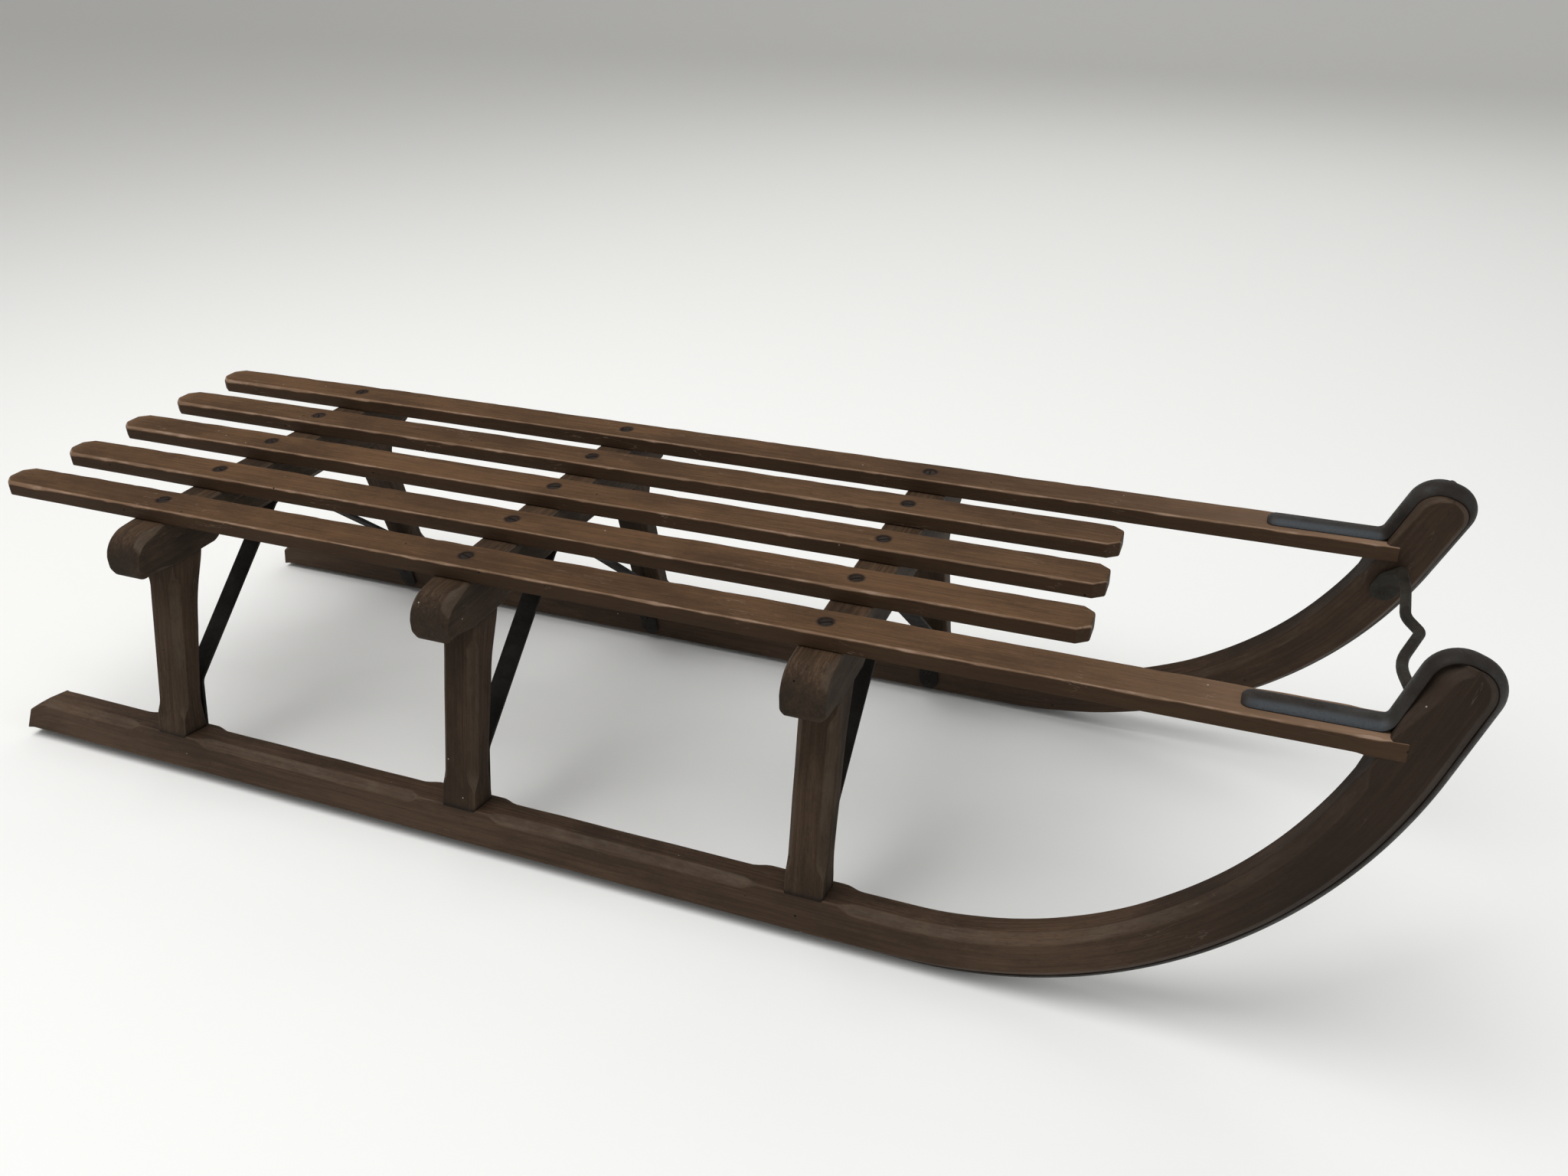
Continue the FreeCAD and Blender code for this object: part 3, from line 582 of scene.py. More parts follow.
def makeSlat(name, seed, outer):
    # A rectangle carried along x. Its width is less at the ends, where the corners are cut off, and
    # its top edges are rounder at the back, where hands have worn them.
    low, high = nodeBox(name)
    high[0] -= slat["shortInHorn"] if outer else 0
    middle = (low[1] + high[1]) / 2
    fronts = [] if outer else [high[0] - slat["cornerBack"]]
    window = slat["pitPatch"]    # half of the flat that each screw hole is cut in
    along = stations(low[0], high[0], 5.0, low[0] + slat["cornerBack"], *fronts)
    for place in screwPlaces:
        along = along[np.abs(along - place) > window + 0.5]
    along = np.sort(np.concatenate([along, [p + e * window for p in screwPlaces for e in (-1, 1)]]))
    along, shrink = roundedEnds(along, low[0], high[0], 1.0)
    nip = np.minimum(along - low[0], 1e9 if outer else high[0] - along)
    half = (high[1] - low[1]) / 2 - slat["cornerSide"] * np.clip(1 - nip / slat["cornerBack"], 0, 1)
    worn = np.exp(-(along - low[0]) / 70)
    left, right = half + 0.12 * waver(along, seed + 1, 30), half + 0.12 * waver(along, seed + 2, 30)
    topHigh = high[2] - 0.3 * worn
    corners = rectangle(-left, right, low[2], topHigh)
    if outer:
        # inside the horn the outer side follows the horn's own lean
        out = np.sign(middle)
        flush = smooth((along - (high[0] - slat["flushFrom"])) / 6)
        lean = (np.array([low[2], topHigh[0]]) - (low[2] + high[2]) / 2) * math.tan(slat["cant"])
        pick = (1, 2) if out > 0 else (0, 3)
        for corner, shift in zip(pick, lean):
            corners[:, corner, 0] += flush * out * (0.25 - shift)
    nicks = np.clip(waver(along, seed + 3, 11), 0.35, 1) - 0.35
    cuts = np.stack([np.full(len(along), slat["underCut"])] * 2 +
                    [slat["topCut"] + slat["wornBack"] * worn + 0.35 * waver(along, seed + k, 14)
                     + nicks * 1.2 for k in (4, 5)], axis=1)
    section = easedSection(corners, cuts, (slat["ease"] + 0.6 * worn)[:, None, None], shrink)
    rings = np.stack([along[:, None] + 0 * section[..., 0], middle + section[..., 0],
                      section[..., 1]], axis=-1)
    count, size = rings.shape[:2]
    quads, triangles = skinFaces(count, size)
    points = withMiddles(rings)
    # soil below zero is wood rubbed lighter, as at the back ends and beside the steel
    wearAndSheen = 0.35 * np.exp(-(along - low[0]) / 10) + outer * 0.85 * np.exp((along - high[0]) / 110)
    soil = withMiddles(-wearAndSheen[:, None] + 0 * rings[..., 0])
    edge = withMiddles(edgeLayer(count, np.array([0.7, 0.7, 1.0, 1.0])))
    drop, patches = [], []
    for place in screwPlaces:
        a, b = np.argmin(np.abs(along - place + window)), np.argmin(np.abs(along - place - window))
        drop.append(a)
        # the top face lies between the last point of corner 2 and the first point of corner 3
        spots = [a * size + 18, b * size + 18, b * size + 17, a * size + 17]
        patches.append((spots, place))
    keep = np.ones(quads.shape[:2], bool)
    keep[drop, 17] = False
    quads = quads[keep]
    for spots, place in patches:
        more, dark, extraQuads, extraTriangles = pit(
            spots, np.array([place, middle]), float(topHigh[np.argmin(np.abs(along - place))]), len(points),
            slat["pitRadius"], slat["pitDepth"])
        points, soil = np.concatenate([points, more]), np.concatenate([soil, dark])
        edge = np.concatenate([edge, 0 * dark])
        quads, triangles = np.concatenate([quads, extraQuads]), np.concatenate([triangles, extraTriangles])
    grain = (points - (low + high) / 2) * mm + grainShift(seed, 0.731, 0.173, 0.0911)
    makeMesh(name + "_wood", points, quads, triangles, finish["slatWood"], "seat_wood", [name],
             grain=grain, edge=edge, soil=soil)
    for number, place in enumerate(screwPlaces):
        angle = np.random.default_rng(seed * 10 + number).uniform(0, math.pi)
        screwHead(f"{name}_screw_{number}", (place, middle, high[2] - 0.75), (0, 0, 1),
                  (math.cos(angle), math.sin(angle), 0))


for seed, name in enumerate(["slat_outer_right", "slat_inner_right", "slat_centre", "slat_inner_left",
                             "slat_outer_left"]):
    makeSlat(name, 7 * seed + 3, "outer" in name)
print("slats and their screws made")


crossbar = {"nose": 19.0, "chin": 8.0, "ease": 0.7, "edgeCut": 1.2, "backNose": 0.3, "underCut": 6.0,
            "underTo": 92.0}


def makeCrossbar(name, seed, noseCut):
    # A rectangle carried along y. Near each end the top falls on a circle of the nose's radius and
    # the underside rises on a circle of the chin's radius; chamfers grow and die out on the way.
    low, high = nodeBox(name)
    reach = high[1]
    turned = np.radians(np.linspace(0, 86, 14))
    ends = reach - crossbar["nose"] * (1 - np.sin(turned))
    chin = reach - crossbar["chin"] * (1 - np.sin(np.radians([0, 25, 45, 65, 80])))
    along = np.concatenate([np.arange(0, reach - crossbar["nose"] - 1, 4.0), ends, chin])
    along = np.unique(np.round(np.concatenate([-along, along]), 2))
    along = along[np.concatenate([[True], np.diff(along) > 0.25])]
    along, shrink = roundedEnds(along, -reach, reach, 0.5)
    off = np.abs(along)

    def fall(radius):
        return radius - np.sqrt(np.maximum(radius ** 2 - np.maximum(off - reach + radius, 0) ** 2, 0))

    top, base = high[2] - fall(crossbar["nose"]), low[2] + fall(crossbar["chin"])
    front, back = high[0] + 0.15 * waver(along, seed, 25), low[0] + 0.15 * waver(along, seed + 1, 25)
    corners = rectangle(back, front, base, top)
    nose = smooth((off - reach + 34) / 20)
    under = between(off, [(-60, crossbar["underTo"])], 12) * (off < 200)
    shares = (crossbar["backNose"], 1.0, 1.0, crossbar["backNose"])
    below = (1, 1, 0, 0)
    cuts = np.stack([crossbar["edgeCut"] + beneath * under * crossbar["underCut"] + nose * noseCut * share +
                     0.2 * waver(along, seed + 2 + k, 10)
                     for k, (share, beneath) in enumerate(zip(shares, below))], axis=1)
    section = easedSection(corners, cuts, crossbar["ease"], shrink)
    rings = np.stack([section[..., 0], along[:, None] + 0 * section[..., 0], section[..., 1]], axis=-1)
    points = withMiddles(rings)
    centre = (low + high) / 2
    fade = 1 - 0.8 * smooth((off - reach + 6) / 4)
    edge = withMiddles(edgeLayer(len(along), np.array([0.8, 1.0, 1.0, 0.8]) * fade[:, None]))
    grain = (points - centre)[:, [1, 0, 2]] * mm + grainShift(seed, 0.47, 0.31, 0.077)
    soil = 0.55 * np.exp(-np.abs(np.abs(points[:, 1]) - 122) / 14) * (points[:, 2] < low[2] + 12)
    makeSkin(name + "_wood", rings, "crossbarWood", "frame_wood", name, grain=grain, edge=edge, soil=soil)


for seed, (name, noseCut) in enumerate({"crossbar_rear": 4.2, "crossbar_middle": 5.2,
                                        "crossbar_front": 3.4}.items()):
    makeCrossbar(name, 40 + 11 * seed, noseCut)
print("crossbars made")


# the runners' own frame: run is along the ground, up and out lie in and across the bent plane
runner = {"cant": math.radians(10.5), "width": 28.0, "height": 29.4, "horn": math.radians(70.0),
          "outerRadius": 300.0, "innerRadius": 266.0, "depth": 34.0, "tipRound": 15.0, "heelSlant": 5.0,
          "heelRise": 18.0, "heelBevel": 17.0, "ease": 0.9, "edgeCut": 1.2, "topCut": 5.2, "frontCut": 5.0,
          "soleCut": 2.0, "wedgeCut": 9.0, "boss": 27.0, "hornLength": 273.0, "shoeHeight": 5.5}
leanCos, leanSin = math.cos(runner["cant"]), math.sin(runner["cant"])
runnerLow, runnerHigh = nodeBox("runner_left")
heelX = runnerLow[0]
soleY = runnerHigh[1] - runner["width"] / 2 * leanCos
soleZ = runnerLow[2] + runner["width"] / 2 * leanSin
cornerRun = (nodeBox("runner_shoe_left")[1][0] - heelX
             - (runner["hornLength"] * math.cos(runner["horn"]) + runner["shoeHeight"] - runner["tipRound"]
                * (math.cos(runner["horn"]) + math.sin(runner["horn"]) - 1)))


def fromRunner(run, up, out, side):
    # run, up and out to x, y, z for the left (1) or right (-1) runner
    return np.stack([heelX + run, side * (soleY - up * leanSin + out * leanCos),
                     soleZ + up * leanCos + out * leanSin], axis=-1)


def toUp(z, out):
    return (z - soleZ - out * leanSin) / leanCos


legRuns = [float(nodeBox(f"crossbar_{bunk}")[0][0] + nodeBox(f"crossbar_{bunk}")[1][0]) / 2 - heelX
           for bunk in ("rear", "middle", "front")]
slatTop, slatBase = nodeBox("slat_outer_left")[1][2], nodeBox("slat_outer_left")[0][2]


def runnerLines():
    # Pairs of points on the sole's line and the inner line: level, then on two arcs of their own
    # radii through the same angles, then up the horn, whose tip is rounded on circles.
    turn = runner["horn"]
    tangentOut = runner["outerRadius"] * math.tan(turn / 2)
    innerCorner = cornerRun - (runner["depth"] - runner["height"] * math.cos(turn)) / math.sin(turn)
    tangentIn = runner["innerRadius"] * math.tan(turn / 2)
    legs = [r + e * runner["boss"] for r in legRuns for e in (-1, 1)]
    level = stations(0.0, cornerRun - tangentOut - 3, 4.0, runner["heelSlant"],
                     runner["heelSlant"] + runner["heelBevel"], *legs)
    outerLevel = np.stack([level, 0 * level], 1)
    innerLevel = np.stack([level, 0 * level + runner["height"]], 1)
    angles = np.linspace(0, turn, 56)
    swing = np.stack([np.sin(angles), -np.cos(angles)], 1)
    outerBend = np.array([cornerRun - tangentOut, runner["outerRadius"]]) + runner["outerRadius"] * swing
    innerBend = (np.array([innerCorner - tangentIn, runner["height"] + runner["innerRadius"]])
                 + runner["innerRadius"] * swing)
    direction = np.array([math.cos(turn), math.sin(turn)])
    back = np.array([-math.sin(turn), math.cos(turn)])
    tip = np.array([cornerRun, 0.0]) + runner["hornLength"] * direction
    rounded = runner["tipRound"]
    rise = (tip - rounded * direction - outerBend[-1]) @ direction
    straight = np.linspace(0, rise, 12)[1:]
    theta = np.radians(np.linspace(0, 84, 12))[1:]
    outerHorn = outerBend[-1] + straight[:, None] * direction
    innerEnd = tip + back * runner["depth"] - rounded * direction
    innerRise = (innerEnd - innerBend[-1]) @ direction
    innerHorn = innerBend[-1] + np.linspace(0, innerRise, 12)[1:, None] * direction
    cap = rounded * np.sin(theta)[:, None] * direction
    narrow = rounded * (1 - np.cos(theta))[:, None] * back
    outer = np.concatenate([outerLevel, outerBend, outerHorn, outerHorn[-1] + cap + narrow])
    inner = np.concatenate([innerLevel, innerBend, innerHorn, innerHorn[-1] + cap - narrow])
    # the heel's slant takes the inner line down to meet the end
    slope = np.interp(inner[:, 0], [0, runner["heelSlant"], runner["heelSlant"] + runner["heelBevel"]],
                      [2.0, runner["heelRise"], runner["height"]])
    inner[:, 1] = np.where(inner[:, 0] < runner["heelSlant"] + runner["heelBevel"], slope, inner[:, 1])
    return outer, inner


def makeRunner(side, seed):
    # A rectangle between the two lines, 28 wide. Each of its four long edges has a chamfer of its
    # own: the upper ones stop at the legs and under the slat, the outer front one runs up the horn,
    # and above the slat a wedge widens towards the tip.
    name = "runner_left" if side > 0 else "runner_right"
    outer, inner = runnerLines()
    gap = np.linalg.norm(inner - outer, axis=1)
    travelled = np.concatenate([[0], np.cumsum(np.linalg.norm(np.diff((outer + inner) / 2, axis=0), axis=1))])
    half = runner["width"] / 2
    upBase, upTop = toUp(slatBase, half), toUp(slatTop, half)
    free = [(18.0, legRuns[0] - runner["boss"])]
    free += [(a + runner["boss"], b - runner["boss"]) for a, b in zip(legRuns, legRuns[1:])]
    bendEnd = float(travelled[np.argmin(np.abs(inner[:, 1] - upBase + 7))])
    free += [(legRuns[2] + runner["boss"], bendEnd)]
    tall = inner[:, 1]
    run = outer[:, 0]
    topOut = runner["edgeCut"] + between(travelled, free, 13) * runner["topCut"]
    topIn = runner["edgeCut"] + between(travelled, free, 13) * (runner["topCut"] - 1)
    wedge = np.clip((tall - upTop) / 32, 0, 1) * (run > cornerRun)
    topOut = topOut + wedge * runner["wedgeCut"]
    topIn = topIn + wedge * 3
    curve = smooth((run - 690) / 160)
    soleOut = runner["soleCut"] + curve * (runner["frontCut"] - runner["soleCut"])
    soleIn = runner["soleCut"] + curve * 1.5
    wavy = [1 + 0.05 * waver(travelled, seed + k, 22) for k in range(4)]
    cuts = np.stack([soleIn * wavy[3], topIn * wavy[2], topOut * wavy[1], soleOut * wavy[0]], axis=1)
    # section axes: first from the sole's line to the inner line, second outwards
    bulge = 0.12 * waver(travelled, seed + 5, 40)
    corners = rectangle(0, gap, -half + bulge, half + bulge)
    section = easedSection(corners, cuts, runner["ease"], 0 * gap)
    direction = (inner - outer) / gap[:, None]
    spot = outer[:, None] + section[..., :1] * direction[:, None]
    rings = fromRunner(spot[..., 0], spot[..., 1], section[..., 1], side)
    points = withMiddles(rings)
    along = withMiddles(np.broadcast_to(travelled[:, None], section.shape[:2]))
    deep = withMiddles(section[..., 0] / gap[:, None] * 2 - 1)
    out = withMiddles(section[..., 1])
    edge = withMiddles(edgeLayer(len(gap), np.array([0.8, 0.9, 1.0, 0.9])))
    grain = np.stack([along, out, deep * 15], axis=1) * mm + grainShift(seed, 0.37, 0.21, 0.057)
    nearLeg = np.exp(-np.maximum(np.abs(along[:, None] - np.array(legRuns)).min(1) - 14, 0) / 5)
    # the faces darken towards the horns, the outer ones more than the inner ones
    hornDark = smooth((along - 800) / 230) * np.where(out > 0, 0.80, 0.42)
    soil = np.maximum(0.5 * nearLeg * (deep > 0.6), hornDark)
    makeSkin(name + "_wood", rings, "runnerWood", "runner_wood", name, grain=grain, edge=edge, soil=soil)


for side in (1, -1):
    makeRunner(side, 90 + 13 * side)
print("runners made")


leg = {"lean": math.radians(12.9), "width": 28.5, "foot": 23.5, "waist": 19.5, "shoulder": 24.0, "head": 32.0,
       "waistRise": 20.0, "shoulderDrop": 34.0, "cut": 5.5, "edgeCut": 1.1, "ease": 0.8}


def makeLeg(name, seed):
    # A rectangle carried upwards. Its outer face leans, its inner face is a smooth line through
    # foot, waist, shoulder and head, and its foot is sheared to lie on the leaning runner.
    side = 1 if name.endswith("left") else -1
    low, high = nodeBox(name)
    bunk = name.split("_")[1]
    barLow = nodeBox(f"crossbar_{bunk}")[0][2]
    footSpot = fromRunner(0.0, runner["height"], runner["width"] / 2, 1)
    footY, footZ = footSpot[1], footSpot[2]
    z = stations(footZ - 1.2, barLow + 2.5, 3.5)
    outerY = footY - (z - footZ) * math.tan(leg["lean"])
    knots = np.array([footZ, footZ + leg["waistRise"], barLow - leg["shoulderDrop"], barLow])
    depth = np.interp(z, knots, [leg["foot"], leg["waist"], leg["shoulder"], leg["head"]])
    kernel = np.ones(5) / 5
    depth = np.convolve(np.pad(depth, 2, mode="edge"), kernel, mode="valid")
    innerY = outerY - depth
    middleX = (low[0] + high[0]) / 2
    half = leg["width"] / 2 + 0.12 * waver(z, seed, 22) - 0.3
    # sides of the section: x, and distance inwards from the outer face
    corners = rectangle(-half, half, innerY, outerY)
    carved = between(z, [(footZ + 12, barLow - 6)], 12) * leg["cut"]
    cuts = leg["edgeCut"] + np.stack([0.15 * waver(z, seed + 1, 9), 0.15 * waver(z, seed + 2, 9),
                                      carved, carved * 0.6], axis=1)
    section = easedSection(corners, cuts, leg["ease"], 0 * z)
    inward = outerY[:, None] - section[..., 1]
    shear = smooth(1 - (z - footZ) / 22)[:, None] * inward * math.tan(runner["cant"])
    rings = np.stack([middleX + section[..., 0], side * section[..., 1], z[:, None] - shear], axis=-1)
    points = withMiddles(rings)
    up = withMiddles(np.broadcast_to(z[:, None], section.shape[:2]))
    deep = withMiddles((section[..., 1] - innerY[:, None]) / depth[:, None] * 2 - 1)
    across = points[:, 0] - middleX
    edge = withMiddles(edgeLayer(len(z), np.array([0.8, 0.8, 1.0, 1.0])))
    grain = np.stack([up, across, deep * 11], axis=1) * mm + grainShift(seed, 0.53, 0.29, 0.041)
    soil = 0.8 * np.exp(-(up - footZ) / 5) + 0.6 * np.exp(-(barLow - up) / 7)
    makeSkin(name + "_wood", rings, "legWood", "frame_wood", name, grain=grain, edge=edge, soil=soil)


for seed, name in enumerate(sorted(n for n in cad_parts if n.startswith("leg_"))):
    makeLeg(name, 130 + 9 * seed)
print("legs made")


# drawn 0.04 lower than the CAD shoe, so that the look stays inside its box
shoe = {"width": 18.0, "height": 5.46, "wall": 0.8, "valley": 9.5, "tongue": 78.0, "endRound": 6.0}


def halfRound():
    # A low wall at both sides, and between their tops an arc of the circle through the crown.
    half, rise = shoe["width"] / 2, shoe["height"] - shoe["wall"]
    radius = (half ** 2 + rise ** 2) / (2 * rise)
    reach = math.asin(half / radius)
    swing = np.linspace(reach, -reach, 15)
    crown = np.stack([radius * np.sin(swing), shoe["height"] - radius + radius * np.cos(swing)], axis=1)
    flat = np.stack([np.linspace(-half, half, 5), np.zeros(5)], axis=1)
    return np.concatenate([crown, flat])


def makeShoe(side):
    # The half round is carried along the sole's line, round the tip, down the horn's back and,
    # through a rounded valley, along the slat; its sideways axis turns from leaning to level there.
    name = "runner_shoe_left" if side > 0 else "runner_shoe_right"
    turn = runner["horn"]
    direction, back = np.array([math.cos(turn), math.sin(turn)]), np.array([-math.sin(turn), math.cos(turn)])
    tip = np.array([cornerRun, 0.0]) + runner["hornLength"] * direction
    tipBack = tip + runner["depth"] * back
    upFlat = toUp(slatTop, 0.0)
    valley = tipBack - direction * (tipBack[1] - upFlat) / direction[1]
    plane = [(0.0, 0.0), (cornerRun, 0.0), tuple(tip), tuple(tipBack), tuple(valley)]
    spots = [fromRunner(r, u, 0.0, side) for r, u in plane]
    end = spots[-1] + np.array([-shoe["tongue"], 0, 0])
    path = roundedPath(spots + [end], [runner["outerRadius"], runner["tipRound"], runner["tipRound"],
                                       shoe["valley"]])
    path, far = resample(path, 5.0)
    rounding = far[-1] - shoe["endRound"] * (1 - np.cos(np.radians(np.arange(80, -1, -10))))
    places = np.concatenate([far[far < rounding[0] - 0.5], rounding])
    path, far = np.stack([np.interp(places, far, path[:, k]) for k in range(3)], axis=1), places
    leaning = np.array([0, side * leanCos, leanSin]) * -side
    level = np.array([0, -1.0, 0])
    total = far[-1]
    turned = smooth((far - (total - shoe["tongue"] - 10)) / 20)[:, None]
    sideAxis = unit(leaning * (1 - turned) + level * turned)
    profile = np.broadcast_to(halfRound(), (len(path), 20, 2)).copy()
    # both ends are rounded over: the section shrinks on a circle, on the slat to half its width
    tail = np.minimum(total - far, shoe["endRound"]) / shoe["endRound"]
    circle = np.sqrt(1 - (1 - tail) ** 2)
    narrow = 0.45 + 0.55 * circle
    heel = np.sqrt(np.maximum(1 - (1 - np.minimum(far, 4.0) / 4.0) ** 2, 0.25))
    profile[..., 0] *= narrow[:, None]
    profile[..., 1] *= np.minimum(0.15 + 0.85 * circle, heel)[:, None]
    rings = carried(path, sideAxis, profile)
    # the outer flanks of the length on the slat get a lighter blue-grey, a painted reflection
    onSlat = smooth((far - (total - shoe["tongue"] - 4)) / 12) * smooth((total - far) / 8)
    flank = onSlat[:, None] * smooth((np.abs(profile[..., 0]) / shoe["width"] * 2 - 0.35) / 0.4)
    makeSkin(name + "_steel", rings, "shoeSteel", "shoe_steel", name, flank=withMiddles(flank))


for side in (1, -1):
    makeShoe(side)
print("shoes made")


brace = {"width": 16.0, "thickness": 3.0, "bend": 66.0, "toe": 5.0, "flat": 13.0, "bendRadius": 9.0,
         "screwUp": (12.0, 24.0)}


def makeBrace(bunk, seed):
    # A flat bar with rounded edges carried from one runner up to the crossbar and down to the other.
    name = f"brace_{bunk}"
    low, high = nodeBox(name)
    middleX = (low[0] + high[0]) / 2
    inside = -runner["width"] / 2 - brace["thickness"] / 2
    toe = fromRunner(0.0, brace["toe"], inside, 1)
    bend = fromRunner(0.0, brace["bend"], inside, 1)
    top = high[2] - brace["thickness"] / 2
    half = [(middleX, toe[1], toe[2]), (middleX, bend[1], bend[2]), (middleX, brace["flat"], top)]
    route = half + [(x, -y, z) for x, y, z in half[::-1]]
    path, far = resample(roundedPath(route, [brace["bendRadius"]] * 4), 6.0)
    angle = np.radians(np.arange(0, 360, 15))
    outline = np.stack([np.sign(np.cos(angle)) * np.abs(np.cos(angle)) ** 0.22 * brace["width"] / 2,
                       np.sign(np.sin(angle)) * np.abs(np.sin(angle)) ** 0.35 * brace["thickness"] / 2], axis=1)
    ends = np.minimum(far, far[-1] - far)
    narrow = np.sqrt(np.maximum(1 - (1 - np.minimum(ends, 5.0) / 5.0) ** 2 * 0.75, 0.2))
    profile = outline[None] * np.stack([narrow, np.minimum(narrow + 0.15, 1)], axis=1)[:, None]
    rings = carried(path, np.broadcast_to(np.array([1.0, 0, 0]), path.shape), profile)
    makeSkin(name + "_bar", rings, "braceIron", "dark_iron", name)
    rng = np.random.default_rng(seed)
    for side, sideName in ((1, "left"), (-1, "right")):
        out = np.array([0, -side * leanCos, -leanSin])
        for number, up in enumerate(brace["screwUp"]):
            spot = fromRunner(middleX - heelX, up, inside - 1.2, side)
            turn = rng.uniform(0, math.pi)
            slotAlong = (math.cos(turn), 0.3 * math.sin(turn), math.sin(turn))
            screwHead(f"{name}_screw_{sideName}_{number}", spot, out, slotAlong, 3.4, 0.9)
    for number, y in enumerate((-7.0, 7.0)):
        screwHead(f"{name}_screw_top_{number}", (middleX, y, top - 1.2), (0, 0, -1),
                  (math.cos(number + seed), math.sin(number + seed), 0), 3.4, 0.9)


for seed, bunk in enumerate(("rear", "middle", "front")):
    makeBrace(bunk, 200 + seed)
print("braces made")


rod = {"radius": 3.5, "height": 205.5, "behindFront": 18.0, "plateLength": 31.0, "plateHalf": 9.5,
       "plateThick": 1.5, "bendRadius": 6.0, "screws": (8.0, 24.0),
       "kinks": ((-70.0, 5.0), (-24.0, -4.5), (19.0, 9.0), (37.0, 0.5), (78.0, 2.0)),
       "kinkRadii": (60.0, 55.0, 8.5, 26.0, 60.0)}


def makeRod():
    # A round bar forged flat at both ends: the section's half width and half height change from a
    # circle to a flat oval along each horn, and end in a half circle.
    half = runner["width"] / 2
    rodUp = toUp(rod["height"], -half)
    rodRun = cornerRun + rodUp / math.tan(runner["horn"]) - rod["behindFront"]
    flat = -half - rod["plateThick"]
    down = np.array([math.cos(runner["horn"]), math.sin(runner["horn"])])

    def plateEnd(side):
        lower = np.array([rodRun, rodUp]) - rod["plateLength"] * down
        return [fromRunner(*lower, flat, side),
                fromRunner(rodRun, rodUp, flat - 2.0, side)]

    x, z = heelX + rodRun, rod["height"]
    middle = [np.array([x + out, y, z]) for y, out in rod["kinks"]]
    route = plateEnd(-1) + middle + plateEnd(1)[::-1]
    path, far = resample(roundedPath(route, [rod["bendRadius"], *rod["kinkRadii"], rod["bendRadius"]]), 1.6)
    end = np.minimum(far, far[-1] - far)
    flatness = smooth((rod["plateLength"] + 1 - end) / 13)
    wide = rod["radius"] + (rod["plateHalf"] - rod["radius"]) * flatness
    tip = np.sqrt(np.maximum(1 - (1 - np.minimum(end, rod["plateHalf"]) / rod["plateHalf"]) ** 2, 0.01))
    thick = rod["radius"] + (rod["plateThick"] - rod["radius"]) * flatness
    angle = np.radians(np.arange(0, 360, 15))
    power = (1 - 0.55 * flatness)[:, None]
    u = np.sign(np.cos(angle)) * np.abs(np.cos(angle)) ** power * (wide * tip)[:, None]
    v = np.sign(np.sin(angle)) * np.abs(np.sin(angle)) ** power * (thick * np.minimum(tip + 0.3, 1))[:, None]
    # sideways axis: across the horn on the plates, upright on the bar between them
    across = np.array([math.sin(runner["horn"]), -math.cos(runner["horn"])])
    ends = {s: unit(fromRunner(*across, 0.0, s) - fromRunner(0.0, 0.0, 0.0, s)) for s in (1, -1)}
    first = np.where(far < far[-1] / 2, 1.0, 0.0)[:, None]
    plateAxis = ends[-1] * first + ends[1] * (1 - first)
    bar = np.array([1.0, 0, 0])
    mixed = unit(plateAxis * flatness[:, None] + bar * (1 - flatness)[:, None])
    rings = carried(path, mixed, np.stack([u, v], axis=-1))
    makeSkin("pull_rod_bar", rings, "rodIron", "dark_iron", "pull_rod")
    for side, sideName in ((1, "left"), (-1, "right")):
        for number, drop in enumerate(rod["screws"]):
            spot = np.array([rodRun, rodUp]) - drop * down
            centre = fromRunner(*spot, flat - rod["plateThick"] + 0.1, side)
            turn = 0.5 + 1.3 * number
            slotAlong = (math.cos(turn), 0, math.sin(turn))
            screwHead(f"pull_rod_screw_{sideName}_{number}", centre, (0, -side * leanCos, -leanSin),
                      slotAlong, 3.7, 0.8)


makeRod()
print("pull rod made")


stage = {"floor": (0.87, 0.87, 0.855), "world": (1.0, 0.99, 0.97), "worldStrength": 0.41}


def stageMaterial(name, colour):
    material, tree = newMaterial(name)
    fillShader(tree, Base_Color=colour, Roughness=0.9)
    return material


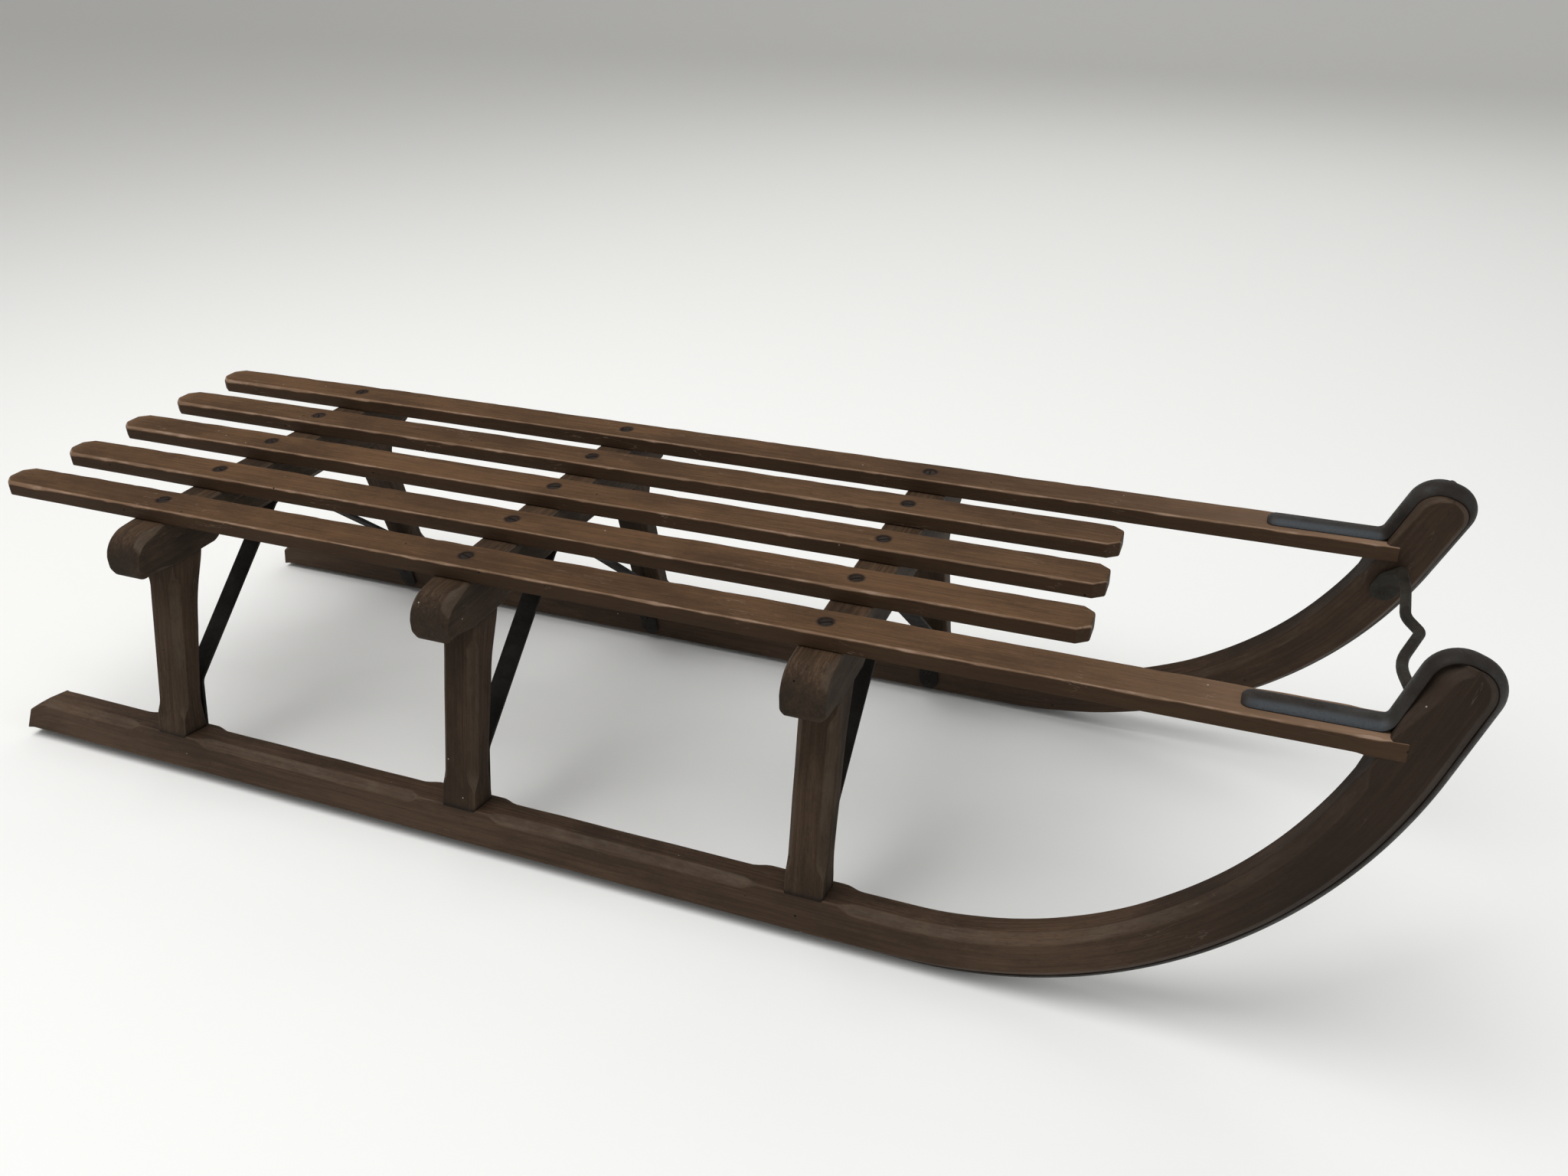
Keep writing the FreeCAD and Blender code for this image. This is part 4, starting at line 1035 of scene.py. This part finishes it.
def makeStage():
    # a wide floor that turns up, on a quarter circle, into a wall far behind
    floor = bpy.data.meshes.new("floor")
    swing = np.radians(np.linspace(0, 90, 16))
    y = np.concatenate([[-9.0], 4.0 + 2.0 * np.sin(swing), [6.0]])
    z = np.concatenate([[0.0], 2.0 - 2.0 * np.cos(swing), [9.0]])
    x = np.array([-9.0, 9.0])
    points = np.stack(np.broadcast_arrays(x[None], y[:, None], z[:, None]), axis=-1).reshape(-1, 3)
    k = np.arange(len(y) - 1)
    faces = np.stack([2 * k, 2 * k + 1, 2 * k + 3, 2 * k + 2], axis=1)
    floor.from_pydata(points.tolist(), [], faces.tolist())
    floor.polygons.foreach_set("use_smooth", np.ones(len(faces), bool))
    floor.materials.append(stageMaterial("paleFloor", stage["floor"]))
    addObject("floor", floor)


makeStage()
world = bpy.data.worlds.new("studio")
bpy.context.scene.world = world
world.use_nodes = True
world.node_tree.nodes["Background"].inputs["Color"].default_value = (*stage["world"], 1)
world.node_tree.nodes["Background"].inputs["Strength"].default_value = stage["worldStrength"]

# place, size, power and tint of each lamp
lamps = {"key": ((-0.7, -0.5, 2.5), 2.0, 51, (1, 1, 1)),
         "side": ((2.6, -0.5, 1.1), 1.4, 16, (0.88, 0.95, 1.0)),
         "back": ((0.3, 2.2, 2.0), 2.0, 12, (1, 1, 1))}
for name, (spot, size, power, tint) in lamps.items():
    light = bpy.data.lights.new(name, "AREA")
    light.size, light.energy, light.color = size, power, tint
    lamp = addObject(name, light)
    lamp.location = spot
    lamp.rotation_euler = (Vector((0, 0, 0.1)) - Vector(spot)).to_track_quat("-Z", "Y").to_euler()

view = {"place": (0.3913, -0.7752, 0.6362), "turn": (60.6816, 0.8489, 21.2333), "lens": 29.816}
camera = addObject("camera", bpy.data.cameras.new("camera"))
camera.data.lens, camera.data.sensor_width = view["lens"], 36
camera.location = view["place"]
camera.rotation_euler = Euler([math.radians(a) for a in view["turn"]], "XYZ")
bpy.context.scene.camera = camera
bpy.context.scene.view_settings.view_transform = "Standard"
print("stage set")
